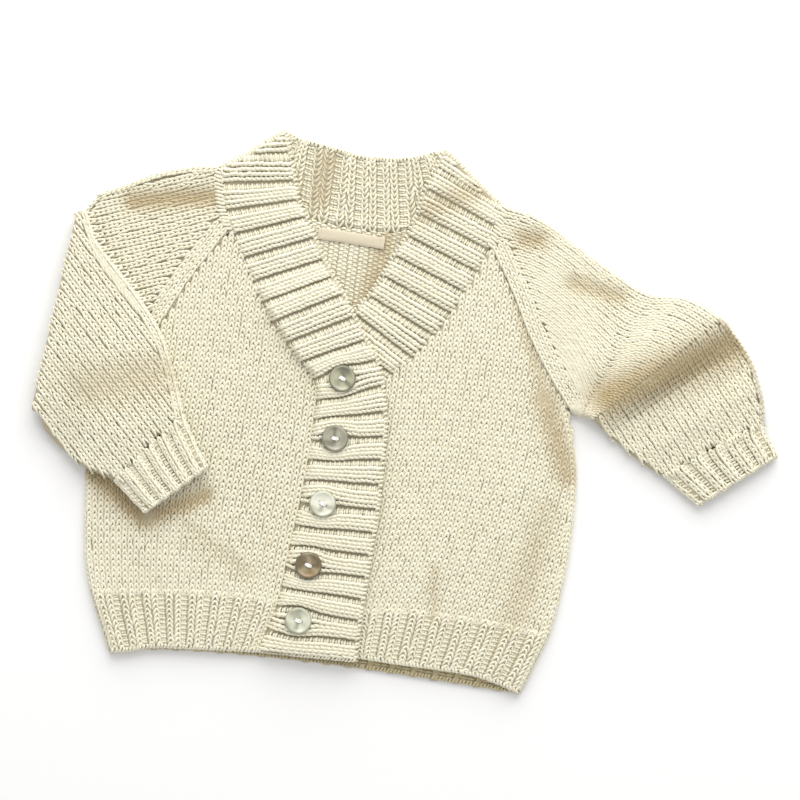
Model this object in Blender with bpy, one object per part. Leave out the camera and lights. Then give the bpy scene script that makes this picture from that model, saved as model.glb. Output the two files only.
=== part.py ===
"""Hand-knitted baby cardigan, laid flat with its front up and its right sleeve folded over the front.

X runs across the garment, Y up its centre line and Z up from the surface that it lies on. Left and right
are the wearer's, so the right front is at -X. Lengths are in millimetres until the mesh is written.
"""

import math
from collections import namedtuple

import bmesh
import bpy
import numpy as np

MM = 0.001

# Cloth
WALL = 2.4
RIB_WALL = 2.2
NECK_RIB_WALL = 1.6
RIB_RAISE = 1.2
NECK_RIB_RAISE = 0.9
BACK_HEM_RAISE = 0.5
SEAM_INSET = 0.2
LAYER_GAP = 0.4
EDGE_DROP = 1.3
FOLD_HOLLOW = 0.9
SOFT_ANGLE = math.radians(50)

# Heights of the undersides of what lies in layers
FRONT_Z = WALL + LAYER_GAP
OVERLAP_Z = FRONT_Z + RIB_WALL + RIB_RAISE + LAYER_GAP

# Sleeves: two walls with a little air between them
SLEEVE_AIR = 0.8
SLEEVE_DEPTH = 2 * WALL + SLEEVE_AIR
FOLD_RADIUS = 3.45
LIFT_AT_SHOULDER_EDGE = 0.8
LIFT_MIDDLE = 0.2
LIFT_LOST_AT_UNDERARM = 0.4

# Ribs: two raised and two sunk stitches, with the four samples that draw one rib
RIB_SAMPLES = (0.16, 0.34, 0.66, 0.84)
NEAREST_SAMPLE = 0.06
HEM_RIBS = 8
BACK_HEM_RIBS = 19
CUFF_RIBS = 5
CUFF_MARGIN = 0.07

# Buttons and label
BUTTON_THICKNESS = 2.4
BUTTON_SIDES = 28
# Radius and height of the button's outline, from the edge of its underside over the rim to the dish
BUTTON_PROFILE = [(7.4, 0.0), (8.0, 0.9), (7.65, 2.15), (6.9, BUTTON_THICKNESS), (6.0, 1.7)]
HOLE_RADIUS = 1.0
HOLE_SIDES = 10
HOLE_SPACING = 3.6
REST_GAP = 0.3
LABEL_SIZE = (40.0, 7.0, 0.5)
LABEL_AT = (-4.5, 103.0)
LABEL_TURN = math.radians(-1.5)

# A ribbed band is a strip between its seam edge and its free edge. Each row is a line across it. The rib
# columns count the ribs along each edge, and differ only where the band turns over the shoulder.
BandRow = namedtuple("BandRow", "row rib_seam rib_free seam_x seam_y free_x free_y")
RIGHT_BAND = [
    BandRow(-1.0, -1.0, -1.0, -30.5, -149.0, 28.0, -147.5),
    BandRow(1.0, 1.0, 1.0, -22.5, -121.5, 28.0, -123.5),
    BandRow(4.0, 4.0, 4.0, -19.0, -84.5, 29.5, -84.0),
    BandRow(6.0, 6.0, 6.0, -16.0, -58.0, 30.5, -56.5),
    BandRow(8.0, 8.0, 8.0, -14.5, -31.5, 30.0, -26.5),
    BandRow(9.5, 9.5, 9.5, -14.0, -14.0, 29.0, -5.5),
    BandRow(11.0, 11.0, 11.0, -14.0, 4.0, 24.5, 17.5),
    BandRow(12.0, 12.0, 12.0, -17.0, 16.5, 19.5, 32.5),
    BandRow(13.0, 13.0, 13.0, -26.5, 25.0, 11.5, 43.5),
    BandRow(15.0, 15.0, 15.0, -45.5, 47.0, -5.5, 69.0),
    BandRow(17.0, 17.0, 17.0, -60.5, 69.5, -19.5, 88.5),
    BandRow(19.0, 19.0, 19.0, -76.0, 96.0, -33.0, 112.5),
    BandRow(20.0, 20.0, 20.0, -83.0, 109.5, -39.0, 122.0),
    BandRow(21.0, 20.75, 21.4, -86.0, 122.0, -44.0, 138.5),
    BandRow(21.8, 21.35, 22.6, -87.5, 132.1, -51.0, 159.5),
    BandRow(22.0, 21.5, 22.8, -88.0, 135.5, -52.0, 162.5),
]
LEFT_BAND = [
    BandRow(-0.7, -0.7, -0.7, 25.5, -145.0, -23.0, -146.5),
    BandRow(1.0, 1.0, 1.0, 26.0, -123.5, -16.0, -121.5),
    BandRow(4.0, 4.0, 4.0, 28.0, -84.0, -12.5, -85.0),
    BandRow(6.0, 6.0, 6.0, 29.0, -57.0, -10.0, -58.0),
    BandRow(8.0, 8.0, 8.0, 28.0, -27.0, -8.5, -30.0),
    BandRow(10.0, 10.0, 10.0, 25.5, -0.5, -8.0, 4.5),
    BandRow(11.0, 11.0, 11.0, 24.5, 12.5, -7.5, 25.5),
    BandRow(12.0, 12.0, 12.0, 29.5, 25.0, -3.5, 43.0),
    BandRow(13.0, 13.0, 13.0, 40.5, 36.0, 2.5, 58.5),
    BandRow(14.0, 14.0, 14.0, 51.5, 51.0, 10.5, 70.0),
    BandRow(15.0, 15.0, 15.0, 60.0, 65.5, 17.0, 83.0),
    BandRow(16.0, 16.0, 16.0, 67.0, 79.0, 22.5, 96.0),
    BandRow(17.0, 17.0, 17.0, 73.0, 92.0, 29.0, 108.5),
    BandRow(18.0, 18.0, 18.0, 78.0, 106.0, 33.5, 122.5),
    BandRow(19.0, 19.0, 19.0, 81.5, 120.0, 36.5, 138.0),
    BandRow(19.8, 19.8, 20.55, 83.4, 130.2, 44.4, 159.6),
    BandRow(20.0, 20.0, 20.7, 84.0, 133.5, 45.5, 162.5),
]
NECK_BAND = [
    BandRow(0.3, 0.3, 0.3, -84.3, 133.9, -48.4, 160.8),
    BandRow(1.0, 1.0, 1.0, -60.0, 123.0, -43.5, 158.5),
    BandRow(2.0, 2.0, 2.0, -35.0, 112.5, -35.0, 157.3),
    BandRow(3.0, 3.0, 3.0, -17.5, 109.5, -17.5, 154.8),
    BandRow(4.0, 4.0, 4.0, -1.5, 108.5, -5.5, 152.5),
    BandRow(5.0, 5.0, 5.0, 12.5, 108.5, 6.5, 152.9),
    BandRow(6.0, 6.0, 6.0, 26.5, 111.0, 19.0, 154.0),
    BandRow(7.0, 7.0, 7.0, 47.0, 117.5, 31.0, 157.0),
    BandRow(8.0, 8.0, 8.0, 67.5, 126.5, 38.0, 160.2),
    BandRow(8.7, 8.7, 8.7, 80.3, 131.9, 41.3, 161.2),
]
BAND_SHARES = (0.0, 0.12, 0.5, 0.93, 1.0)
NECK_SHARES = (0.0, 0.1, 0.22, 0.6, 0.93, 1.0)
NECK_BEAD = 1.3
NECK_BEAD_ROWS = (2.6, 6.6)
TURNED_TOP = 3.2
RIGHT_FOLD_SAG = 1.0
LEFT_FOLD_SAG = 2.4
UNDERLAY_LIFT = 0.4
UNDERLAY_FROM = (-3.0, -2.0)
RISE_SHARE = 0.11
OVERLAP_ENDS = (15.0, 17.5)

# A front with its hem. Each line is a list of points: side, hem_side and raglan run upwards, and rib_top and
# hem run from the side seam towards the band. The rows are those of the band where the hem's top, the level
# of the underarm and the top of the raglan meet it.
Front = namedtuple(
    "Front", "name band hem_row underarm_row raglan_row side hem_side raglan rib_top hem"
)
RIGHT_FRONT = Front(
    name="right",
    band=RIGHT_BAND,
    hem_row=1.3,
    underarm_row=11.0,
    raglan_row=19.2,
    side=[
        (-134.0, -124.5),
        (-139.0, -108.0),
        (-141.5, -90.0),
        (-143.5, -72.0),
        (-145.5, -51.0),
        (-144.5, -33.0),
        (-139.5, -14.0),
        (-129.0, 3.5),
    ],
    hem_side=[(-118.0, -160.0), (-123.5, -148.0), (-129.0, -136.5), (-134.0, -124.5)],
    raglan=[(-129.0, 3.5), (-112.5, 36.0), (-92.5, 74.5)],
    rib_top=[(-134.0, -124.5), (-119.5, -122.5), (-89.5, -119.0), (-58.0, -116.5), (-42.5, -116.0)],
    hem=[(-118.0, -160.0), (-107.0, -158.0), (-97.0, -155.0), (-71.0, -152.0), (-57.0, -151.0)],
)
LEFT_FRONT = Front(
    name="left",
    band=LEFT_BAND,
    hem_row=1.5,
    underarm_row=11.4,
    raglan_row=18.1,
    side=[
        (142.0, -117.0),
        (144.5, -103.0),
        (146.5, -85.0),
        (147.5, -63.5),
        (147.5, -42.5),
        (146.5, -24.5),
        (142.5, -4.0),
        (135.5, 18.0),
    ],
    hem_side=[(128.5, -154.5), (131.5, -147.0), (135.0, -137.5), (138.5, -128.0), (142.0, -117.0)],
    raglan=[(135.5, 18.0), (122.5, 34.5), (110.5, 52.0), (92.5, 84.5)],
    rib_top=[(142.0, -117.0), (129.0, -116.5), (110.5, -114.5), (86.5, -113.5), (60.0, -113.0)],
    hem=[(128.5, -154.5), (115.0, -150.5), (101.0, -147.5), (82.0, -146.5), (50.0, -146.0)],
)
BACK_HEM = [
    (-118.0, -160.0),
    (-97.0, -155.5),
    (-70.5, -153.0),
    (-31.0, -151.3),
    (32.0, -151.2),
    (87.5, -152.8),
    (128.5, -154.5),
]
PANEL_COLUMNS = (0.0, 0.03, 0.12, 0.3, 0.5, 0.7, 0.88, 1.0)
SIDE_POINTS = 8
RAGLAN_POINTS = 6
NECK_POINTS = 19
HEM_SHARES = (0.0, 0.15, 0.6, 1.0)
HEM_SHARE_RAISED = (0.0, 1.0, 1.0, 0.5)
# A front stops just short of the point where its raglan meets the band
RAGLAN_STOP = 0.97

# Soft folds of the fronts: a low ridge from one point to another
Fold = namedtuple("Fold", "x1 y1 x2 y2 height width")
FRONT_FOLDS = [
    Fold(-100.0, -66.0, -62.0, -92.0, 0.9, 9.0),
    Fold(-116.0, -86.0, -84.0, -112.0, 0.7, 9.0),
    Fold(78.0, -60.0, 66.0, -104.0, 0.8, 7.0),
    Fold(50.0, -52.0, 44.0, -100.0, 0.7, 8.0),
    Fold(104.0, -20.0, 112.0, -84.0, 0.6, 12.0),
    Fold(-50.0, 30.0, -66.0, -30.0, 0.5, 12.0),
]

# A sleeve is a flattened tube. Each row gives its shoulder edge a, its underarm edge b, the height of the
# middle of the cloth at each, the share of the width at which the underarm edge starts to sink, how full it
# is, how far a fold lifts both walls, and how much of the raglan's shape the row keeps.
SleeveRow = namedtuple("SleeveRow", "row a_x a_y b_x b_y a_z b_z sink_from full lift raglan")
FLAT = SLEEVE_DEPTH / 2
OVER = FLAT + 2 * FOLD_RADIUS
LEFT_SLEEVE = [
    SleeveRow(0, 84.5, 133.5, 135.5, 18.0, FLAT, FLAT, 0.6, 0.0, 0.0, 1.0),
    SleeveRow(1, 106.5, 128.0, 138.5, 16.5, FLAT, FLAT, 0.6, 0.4, 0.0, 0.4),
    SleeveRow(2, 129.0, 116.0, 141.0, 15.0, FLAT, FLAT, 0.6, 0.8, 0.0, 0.0),
    SleeveRow(3, 153.0, 102.0, 144.0, 14.0, FLAT, FLAT, 0.6, 1.0, 0.3, 0.0),
    SleeveRow(4, 176.0, 91.3, 146.5, 14.0, FLAT, FLAT, 0.6, 1.0, 2.5, 0.0),
    SleeveRow(5, 199.0, 91.0, 149.0, 13.5, FLAT, FLAT, 0.6, 1.0, 7.0, 0.0),
    SleeveRow(6, 220.0, 81.5, 151.5, 13.0, FLAT, FLAT, 0.6, 1.0, 10.0, 0.0),
    SleeveRow(7, 227.5, 74.5, 155.5, 9.5, FLAT, FLAT, 0.6, 0.8, 6.0, 0.0),
    SleeveRow(8, 234.5, 67.5, 160.5, 5.5, FLAT, FLAT, 0.6, 0.6, 1.5, 0.0),
    SleeveRow(9, 243.0, 56.5, 169.0, 0.0, FLAT, FLAT, 0.6, 0.8, 0.2, 0.0),
    SleeveRow(10, 248.0, 45.0, 178.7, -6.5, FLAT, FLAT, 0.6, 1.0, 1.0, 0.0),
    SleeveRow(11, 252.0, 34.5, 189.0, -12.3, FLAT, FLAT, 0.6, 0.8, 0.0, 0.0),
    SleeveRow(12, 253.5, 25.0, 196.7, -15.7, FLAT, FLAT, 0.6, 0.5, 0.0, 0.0),
    SleeveRow(13, 255.5, 18.5, 202.5, -18.8, FLAT, FLAT, 0.6, 0.4, 0.0, 0.0),
    SleeveRow(14, 260.0, 12.0, 211.0, -24.5, FLAT, FLAT, 0.6, 0.4, 0.0, 0.0),
    SleeveRow(15, 264.5, 5.0, 220.5, -30.5, FLAT, FLAT, 0.6, 0.4, 0.0, 0.0),
]
RIGHT_SLEEVE_UNDER = [
    SleeveRow(0, -88.5, 135.5, -129.0, 3.5, FLAT, FLAT, 0.6, 0.0, 0.0, 1.0),
    SleeveRow(1, -106.0, 132.5, -139.0, -1.5, FLAT, FLAT, 0.6, 0.2, 0.0, 0.4),
    SleeveRow(2, -123.0, 127.0, -148.0, -6.0, FLAT, FLAT, 0.6, 0.4, 0.0, 0.0),
    SleeveRow(3, -140.0, 118.5, -157.5, -11.0, FLAT, FLAT, 0.6, 0.5, 0.0, 0.0),
    SleeveRow(4, -155.5, 110.5, -169.0, -17.0, FLAT, FLAT, 0.6, 0.3, 0.0, 0.0),
    SleeveRow(5, -163.5, 99.5, -176.5, -24.0, FLAT, FLAT, 0.6, 0.0, 0.0, 0.0),
]
RIGHT_SLEEVE_OVER = [
    SleeveRow(6, -163.5, 99.5, -176.5, -24.0, OVER, OVER, 0.6, 0.0, 0.0, 0.0),
    SleeveRow(7, -154.0, 81.5, -173.5, -33.0, OVER, 7.0, 0.66, 0.4, 0.0, 0.0),
    SleeveRow(8, -137.5, 64.5, -165.0, -41.0, OVER, 4.5, 0.56, 0.8, 0.0, 0.0),
    SleeveRow(9, -121.5, 47.5, -154.0, -48.5, OVER, 6.0, 0.62, 1.0, 0.0, 0.0),
    SleeveRow(10, -110.5, 33.0, -146.0, -53.0, OVER, 8.8, 0.66, 1.0, 0.0, 0.0),
    SleeveRow(11, -102.5, 17.0, -139.0, -55.0, OVER, OVER, 0.66, 1.0, 0.0, 0.0),
    SleeveRow(12, -96.0, 0.5, -133.0, -56.5, OVER, OVER, 0.6, 0.8, 0.0, 0.0),
    SleeveRow(13, -91.0, -12.5, -128.0, -58.5, OVER, OVER, 0.6, 0.4, 0.0, 0.0),
    SleeveRow(14, -86.0, -22.5, -122.5, -62.5, OVER, OVER, 0.6, 0.4, 0.0, 0.0),
    SleeveRow(15, -79.5, -33.0, -115.5, -68.5, OVER, OVER, 0.6, 0.4, 0.0, 0.0),
    SleeveRow(16, -72.5, -43.0, -107.0, -75.0, OVER, OVER, 0.6, 0.4, 0.0, 0.0),
]
KNEE_SHARE = 0.2
SEAM_ROWS = 0.03
TURN_STEPS = 6
LEFT_SLEEVE_AT = [SEAM_ROWS, 0.5, 1, 2, 3, 4, 4.6, 5.2, 5.7, 6.1, 6.5, 6.9, 7.4, 8]
LEFT_SLEEVE_AT += [9, 10, 11, 12 - SEAM_ROWS]
LEFT_CUFF_AT = [12 + SEAM_ROWS, 13, 14, 15]
RIGHT_SLEEVE_AT = [SEAM_ROWS, 0.5, 1, 2, 3, 4, 5]
RIGHT_SLEEVE_AT += [5 + step / TURN_STEPS for step in range(1, TURN_STEPS)]
RIGHT_SLEEVE_AT += [6, 7, 8, 9, 10, 11, 12, 13 - SEAM_ROWS]
RIGHT_CUFF_AT = [13 + SEAM_ROWS, 14, 15, 16]
NUDGE = 0.02
SLEEVE_SHARES = (0.07, 0.14, 0.2, 0.4, 0.6, 0.8)
CUFF_UNDER_SHARES = (0.3, 0.7)
NECK_STEPS = 4
STAND_OFF = 0.6

# Button centres
BUTTONS = [(0.5, 19.0), (0.5, -17.0), (-2.0, -56.5), (-6.0, -94.0), (-8.0, -127.5)]

# Colour, roughness and metallic value of each material
FINISHES = {
    "knit_cream": ((0.82, 0.77, 0.62), 0.9, 0.0),
    "rib_cream": ((0.80, 0.75, 0.60), 0.9, 0.0),
    "shell_grey": ((0.46, 0.45, 0.36), 0.25, 0.0),
    "shell_pale": ((0.66, 0.66, 0.56), 0.25, 0.0),
    "shell_brown": ((0.36, 0.28, 0.19), 0.25, 0.0),
    "label_tape": ((0.76, 0.63, 0.49), 0.8, 0.0),
}
BUTTON_FINISHES = ["shell_grey", "shell_grey", "shell_pale", "shell_brown", "shell_pale"]


def clear_scene():
    for obj in list(bpy.data.objects):
        bpy.data.objects.remove(obj, do_unlink=True)


def finish(name):
    """The material of this name, made once."""
    material = bpy.data.materials.get(name)
    if material is None:
        colour, roughness, metallic = FINISHES[name]
        material = bpy.data.materials.new(name)
        material.use_nodes = True
        shader = material.node_tree.nodes["Principled BSDF"]
        shader.inputs["Base Color"].default_value = (*colour, 1.0)
        shader.inputs["Roughness"].default_value = roughness
        shader.inputs["Metallic"].default_value = metallic
    return material


def smoothstep(low, high, value):
    share = np.clip((np.asarray(value, float) - low) / (high - low), 0.0, 1.0)
    return share * share * (3 - 2 * share)


def smooth(table, at):
    """A table read as one smooth curve: its other columns where its first column has the values in at."""
    rows = np.array(table, float)
    keys, values = rows[:, 0], rows[:, 1:]
    slopes = np.gradient(values, keys, axis=0)
    at = np.asarray(at, float)
    i = np.clip(np.searchsorted(keys, at, side="right") - 1, 0, len(keys) - 2)
    step = (keys[i + 1] - keys[i])[..., None]
    t = (at - keys[i])[..., None] / step
    start = (1 + 2 * t) * (1 - t) ** 2 * values[i] + t * (1 - t) ** 2 * step * slopes[i]
    end = t * t * (3 - 2 * t) * values[i + 1] + t * t * (t - 1) * step * slopes[i + 1]
    return start + end


def along(points, shares, curved=True):
    """Points at these shares of the length of a line, curved or straight between its points."""
    points = np.array(points, float)
    lengths = np.linalg.norm(np.diff(points, axis=0), axis=1)
    keys = np.concatenate([[0.0], np.cumsum(lengths)]) / lengths.sum()
    shares = np.asarray(shares, float)
    if curved and len(points) > 2:
        return smooth(np.column_stack([keys, points]), shares)
    return np.stack([np.interp(shares, keys, points[:, axis]) for axis in range(2)], axis=-1)


def shares_of(points):
    """How far along its own length each point of a line is."""
    lengths = np.concatenate([[0.0], np.linalg.norm(np.diff(points, axis=0), axis=1)])
    return np.cumsum(lengths) / lengths.sum()


def patch(low, high, left, right):
    """Plan points that fill four edges: low and high run across, and left and right run from low to high."""
    across = (shares_of(low)[None, :, None] + shares_of(high)[None, :, None]) / 2
    up = (shares_of(left)[:, None, None] + shares_of(right)[:, None, None]) / 2
    between_sides = (1 - across) * left[:, None] + across * right[:, None]
    between_ends = (1 - up) * low[None] + up * high[None]
    corners = (1 - up) * ((1 - across) * low[0] + across * low[-1])
    corners = corners + up * ((1 - across) * high[0] + across * high[-1])
    return between_sides + between_ends - corners


def inset(plan):
    """The same plan with its border moved in, so that it stands back from its neighbours."""
    moved = plan.copy()
    whole = slice(None)
    borders = [((0, whole), (1, whole)), ((-1, whole), (-2, whole))]
    borders += [((whole, 0), (whole, 1)), ((whole, -1), (whole, -2))]
    for border, inside in borders:
        tangent = np.gradient(plan[border], axis=0)
        normal = np.column_stack([-tangent[:, 1], tangent[:, 0]])
        normal = normal / np.linalg.norm(normal, axis=1, keepdims=True)
        inward = np.sign(np.sum(normal * (plan[inside] - plan[border]), axis=1, keepdims=True))
        moved[border] = moved[border] + normal * inward * SEAM_INSET
    return moved


def make_object(name, points, faces, material):
    """A mesh object from points in millimetres, with its faces turned outwards."""
    mesh = bpy.data.meshes.new(name)
    shape = bmesh.new()
    corners = [shape.verts.new(tuple(float(value) * MM for value in point)) for point in points]
    for face in faces:
        shape.faces.new([corners[i] for i in face])
    bmesh.ops.recalc_face_normals(shape, faces=shape.faces)
    shape.to_mesh(mesh)
    shape.free()
    mesh.shade_smooth()
    mesh.set_sharp_from_angle(angle=SOFT_ANGLE)
    mesh.materials.append(finish(material))
    obj = bpy.data.objects.new(name, mesh)
    bpy.context.scene.collection.objects.link(obj)
    return obj


def grid_faces(rows, columns, first=0):
    faces = []
    for i in range(rows - 1):
        for j in range(columns - 1):
            corner = first + i * columns + j
            faces.append((corner, corner + 1, corner + columns + 1, corner + columns))
    return faces


def wall(name, plan, top, bottom, material):
    """A wall of cloth: a plan with the heights of its upper and lower faces."""
    rows, columns = plan.shape[:2]
    size = rows * columns
    upper = np.concatenate([plan, top[..., None]], axis=-1).reshape(-1, 3)
    lower = np.concatenate([plan, bottom[..., None]], axis=-1).reshape(-1, 3)
    faces = grid_faces(rows, columns) + grid_faces(rows, columns, size)
    index = np.arange(size).reshape(rows, columns)
    border = np.concatenate([index[0, :-1], index[:-1, -1], index[-1, :0:-1], index[:0:-1, 0]])
    for here, after in zip(border, np.roll(border, -1)):
        faces.append((int(here), int(after), int(after) + size, int(here) + size))
    return make_object(name, np.concatenate([upper, lower]), faces, material)


def tube(name, outer, inner, material):
    """A tube of cloth from matching rings of outer and inner points, open at both ends."""
    rows, around = outer.shape[:2]
    size = rows * around
    faces = []
    for first in (0, size):
        for i in range(rows - 1):
            for j in range(around):
                after = (j + 1) % around
                here = first + i * around
                faces.append((here + j, here + after, here + around + after, here + around + j))
    for start in (0, (rows - 1) * around):
        for j in range(around):
            after = (j + 1) % around
            faces.append((start + j, start + after, size + start + after, size + start + j))
    points = np.concatenate([outer.reshape(-1, 3), inner.reshape(-1, 3)])
    return make_object(name, points, faces, material)


def rib_wave(rib):
    """1 on a raised rib and 0 between two, with soft sides."""
    wave = 0.5 - 0.5 * np.cos(2 * np.pi * np.asarray(rib, float))
    return smoothstep(0.15, 0.85, wave)


def rib_steps(first, last):
    """The places that draw each rib between two counts, with both ends."""
    inner = [rib + part for rib in range(math.floor(first), math.ceil(last)) for part in RIB_SAMPLES]
    inner = [place for place in inner if first + NEAREST_SAMPLE < place < last - NEAREST_SAMPLE]
    return [first] + inner + [last]


def fold_height(x, y):
    """How far the soft folds lift the fronts at a place."""
    height = np.zeros(np.shape(x))
    for fold in FRONT_FOLDS:
        run = np.array([fold.x2 - fold.x1, fold.y2 - fold.y1])
        length = np.linalg.norm(run)
        run = run / length
        forward = (x - fold.x1) * run[0] + (y - fold.y1) * run[1]
        aside = (y - fold.y1) * run[0] - (x - fold.x1) * run[1]
        ends = smoothstep(-0.15, 0.25, forward / length) * smoothstep(1.15, 0.75, forward / length)
        height = height + fold.height * ends * np.exp(-((aside / fold.width) ** 2))
    return height


def seam_of(band, rows):
    return smooth(band, rows)[..., 2:4]


def band_plan(band, rows, shares):
    """Plan of a strip and the rib count at each of its points."""
    values = smooth(band, rows)
    shares = np.array(shares)[None, :, None]
    plan = (1 - shares) * values[:, None, 2:4] + shares * values[:, None, 4:6]
    ribs = (1 - shares[..., 0]) * values[:, None, 0] + shares[..., 0] * values[:, None, 1]
    return plan, ribs


def rib_heights(ribs, shares, rise):
    """Height of the ribs over a strip, dying away at its two edges."""
    shares = np.array(shares)
    inside = ((shares > 0.001) & (shares < 0.999)).astype(float)
    return rise * rib_wave(ribs) * inside[None, :]


def front_band(name, band, overlap, sag):
    """A front band from the hem to the shoulder. Its end turns down there, and sags between its corners.
    Overlap lifts it over the other band."""
    last, turn_from = band[-1].row, band[-2].row
    turning = [turn_from, (turn_from + last) / 2, last]
    rows = np.array(rib_steps(band[0].row, last - 1.0) + [turn_from - 0.5, turn_from - 0.3] + turning)
    plan, ribs = band_plan(band, rows, BAND_SHARES)
    shares = np.array(BAND_SHARES)[None, :]
    plan[-2:, :, 1] -= sag * np.array([0.5, 1.0])[:, None] * np.sin(np.pi * shares)
    lifted = overlap * smoothstep(0.0, RISE_SHARE, shares)
    lifted = lifted * (1 - smoothstep(*OVERLAP_ENDS, rows))[:, None]
    bottom = FRONT_Z + (OVERLAP_Z - FRONT_Z) * lifted
    lifted = smoothstep(*UNDERLAY_FROM, (rows - last))[:, None]
    bottom = bottom + UNDERLAY_LIFT * lifted
    top = bottom + RIB_WALL + rib_heights(ribs, BAND_SHARES, RIB_RAISE)
    turned = np.array([0.0] * (len(rows) - 2) + [0.6, 1.0])[:, None]
    top[-2:] -= (top[-2:] - TURNED_TOP) * np.array([0.25, 1.0])[:, None]
    wall(name, inset(plan), top, bottom * (1 - turned), "rib_cream")


def neck_band():
    """The band behind the neck. Its inner side is up, with a bead where it was picked up along the neck."""
    rows = np.array(rib_steps(NECK_BAND[0].row, NECK_BAND[-1].row))
    plan, ribs = band_plan(NECK_BAND, rows, NECK_SHARES)
    top = NECK_RIB_WALL + rib_heights(ribs, NECK_SHARES, NECK_RIB_RAISE)
    bead_start, bead_end = NECK_BEAD_ROWS
    bead = smoothstep(bead_start, bead_start + 0.4, rows) * smoothstep(bead_end, bead_end - 0.4, rows)
    top[:, 1] = top[:, 1] * (1 - bead) + (NECK_RIB_WALL + NECK_BEAD) * bead
    wall("back_neck_band", inset(plan), top, np.zeros(top.shape), "rib_cream")


def hem_plan(rib_top, hem, left, right, ribs):
    """Plan of a ribbed hem and the rib count at each of its columns."""
    places = np.array(rib_steps(0, ribs))
    low = along(hem, places / ribs)
    high = along(rib_top, places / ribs)
    return patch(low, high, left, right), places


def front_rows(front):
    """The rows of the band that a front panel's points match: evenly to the underarm, then every half rib."""
    upper = np.arange(front.underarm_row + 0.5, front.raglan_row - 0.4, 0.5)
    lower = np.linspace(front.hem_row, front.underarm_row, SIDE_POINTS)
    return np.concatenate([lower, upper, [front.raglan_row - 0.25]])


def raglan_of(front):
    """The raglan from the underarm to the band."""
    return front.raglan + [tuple(seam_of(front.band, front.raglan_row))]


def front_panel(front):
    """A front. Its inner edge follows the band, and its outer edge the side and then the raglan."""
    inner = seam_of(front.band, front_rows(front))
    side = along(front.side, np.linspace(0, 1, SIDE_POINTS))
    up_raglan = np.linspace(0, RAGLAN_STOP, len(inner) - SIDE_POINTS + 1)
    outer = np.concatenate([side, along(raglan_of(front), up_raglan, curved=False)[1:]])
    low = along(front.rib_top + [tuple(inner[0])], PANEL_COLUMNS)
    high = outer[-1] + np.array(PANEL_COLUMNS)[:, None] * (inner[-1] - outer[-1])
    plan = patch(low, high, outer, inner)
    lift = fold_height(plan[..., 0], plan[..., 1])
    top = FRONT_Z + WALL + lift
    top[:SIDE_POINTS, 0] -= EDGE_DROP
    wall(f"{front.name}_front_panel", inset(plan), top, FRONT_Z + lift * FOLD_HOLLOW, "knit_cream")


def front_hem(front):
    """The ribbed hem of a front, from its bottom edge up to the panel."""
    shares = np.array(HEM_SHARES)
    first = front.band[0].row
    seam = seam_of(front.band, first + shares * (front.hem_row - first))
    rib_top = front.rib_top + [tuple(seam[-1])]
    bottom_edge = front.hem + [tuple(seam[0])]
    plan, places = hem_plan(rib_top, bottom_edge, along(front.hem_side, shares), seam, HEM_RIBS)
    raised = RIB_RAISE * rib_wave(places)[None, :] * np.array(HEM_SHARE_RAISED)[:, None]
    top = FRONT_Z + RIB_WALL + raised
    wall(f"{front.name}_front_hem", inset(plan), top, np.full(top.shape, FRONT_Z), "rib_cream")


def back_side(front, corner):
    """A side edge of the back: up the side seam, the raglan and the end of the band, to the neck's corner."""
    last = front.band[-1].row
    neck = seam_of(front.band, np.array([last - 1.6, last - 0.8]))
    side = along(front.side, np.linspace(0, 1, SIDE_POINTS))
    upper = along(raglan_of(front), np.linspace(0, 1, RAGLAN_POINTS), curved=False)
    return np.concatenate([side, upper[1:], neck, [corner]])


def back():
    """The back panel and its hem. They lie flat under everything else."""
    high = seam_of(NECK_BAND, np.linspace(NECK_BAND[0].row, NECK_BAND[-1].row, NECK_POINTS))
    rib_top = RIGHT_FRONT.rib_top + LEFT_FRONT.rib_top[::-1]
    low = along(rib_top, shares_of(high))
    plan = patch(low, high, back_side(RIGHT_FRONT, high[0]), back_side(LEFT_FRONT, high[-1]))
    flat = np.zeros(plan.shape[:2])
    wall("back_panel", inset(plan), flat + WALL, flat, "knit_cream")

    sides = [along(front.hem_side, HEM_SHARES) for front in (RIGHT_FRONT, LEFT_FRONT)]
    plan, places = hem_plan(rib_top, BACK_HEM, *sides, BACK_HEM_RIBS)
    flat = np.zeros(plan.shape[:2])
    top = flat + WALL - BACK_HEM_RAISE + BACK_HEM_RAISE * rib_wave(places)
    wall("back_hem", inset(plan), top, flat, "rib_cream")


def sleeve_start(front):
    """The two lines where a sleeve starts: down the end of the band, and up the raglan to meet it."""
    outward = math.copysign(STAND_OFF, front.side[0][0])
    stand_off = np.array([outward, 0.0])
    neck = seam_of(front.band, np.linspace(front.band[-1].row, front.raglan_row, NECK_STEPS))
    return neck + stand_off, np.array(raglan_of(front)) + stand_off


RIGHT_START = sleeve_start(RIGHT_FRONT)
LEFT_START = sleeve_start(LEFT_FRONT)


def raglan_line(shares, neck, raglan):
    """Points down the start of a sleeve, from the shoulder to the underarm."""
    upper = along(neck, np.clip(shares / KNEE_SHARE, 0, 1), curved=False)
    lower = along(raglan[::-1], np.clip((shares - KNEE_SHARE) / (1 - KNEE_SHARE), 0, 1), curved=False)
    return np.where((shares < KNEE_SHARE)[:, None], upper, lower)


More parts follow.
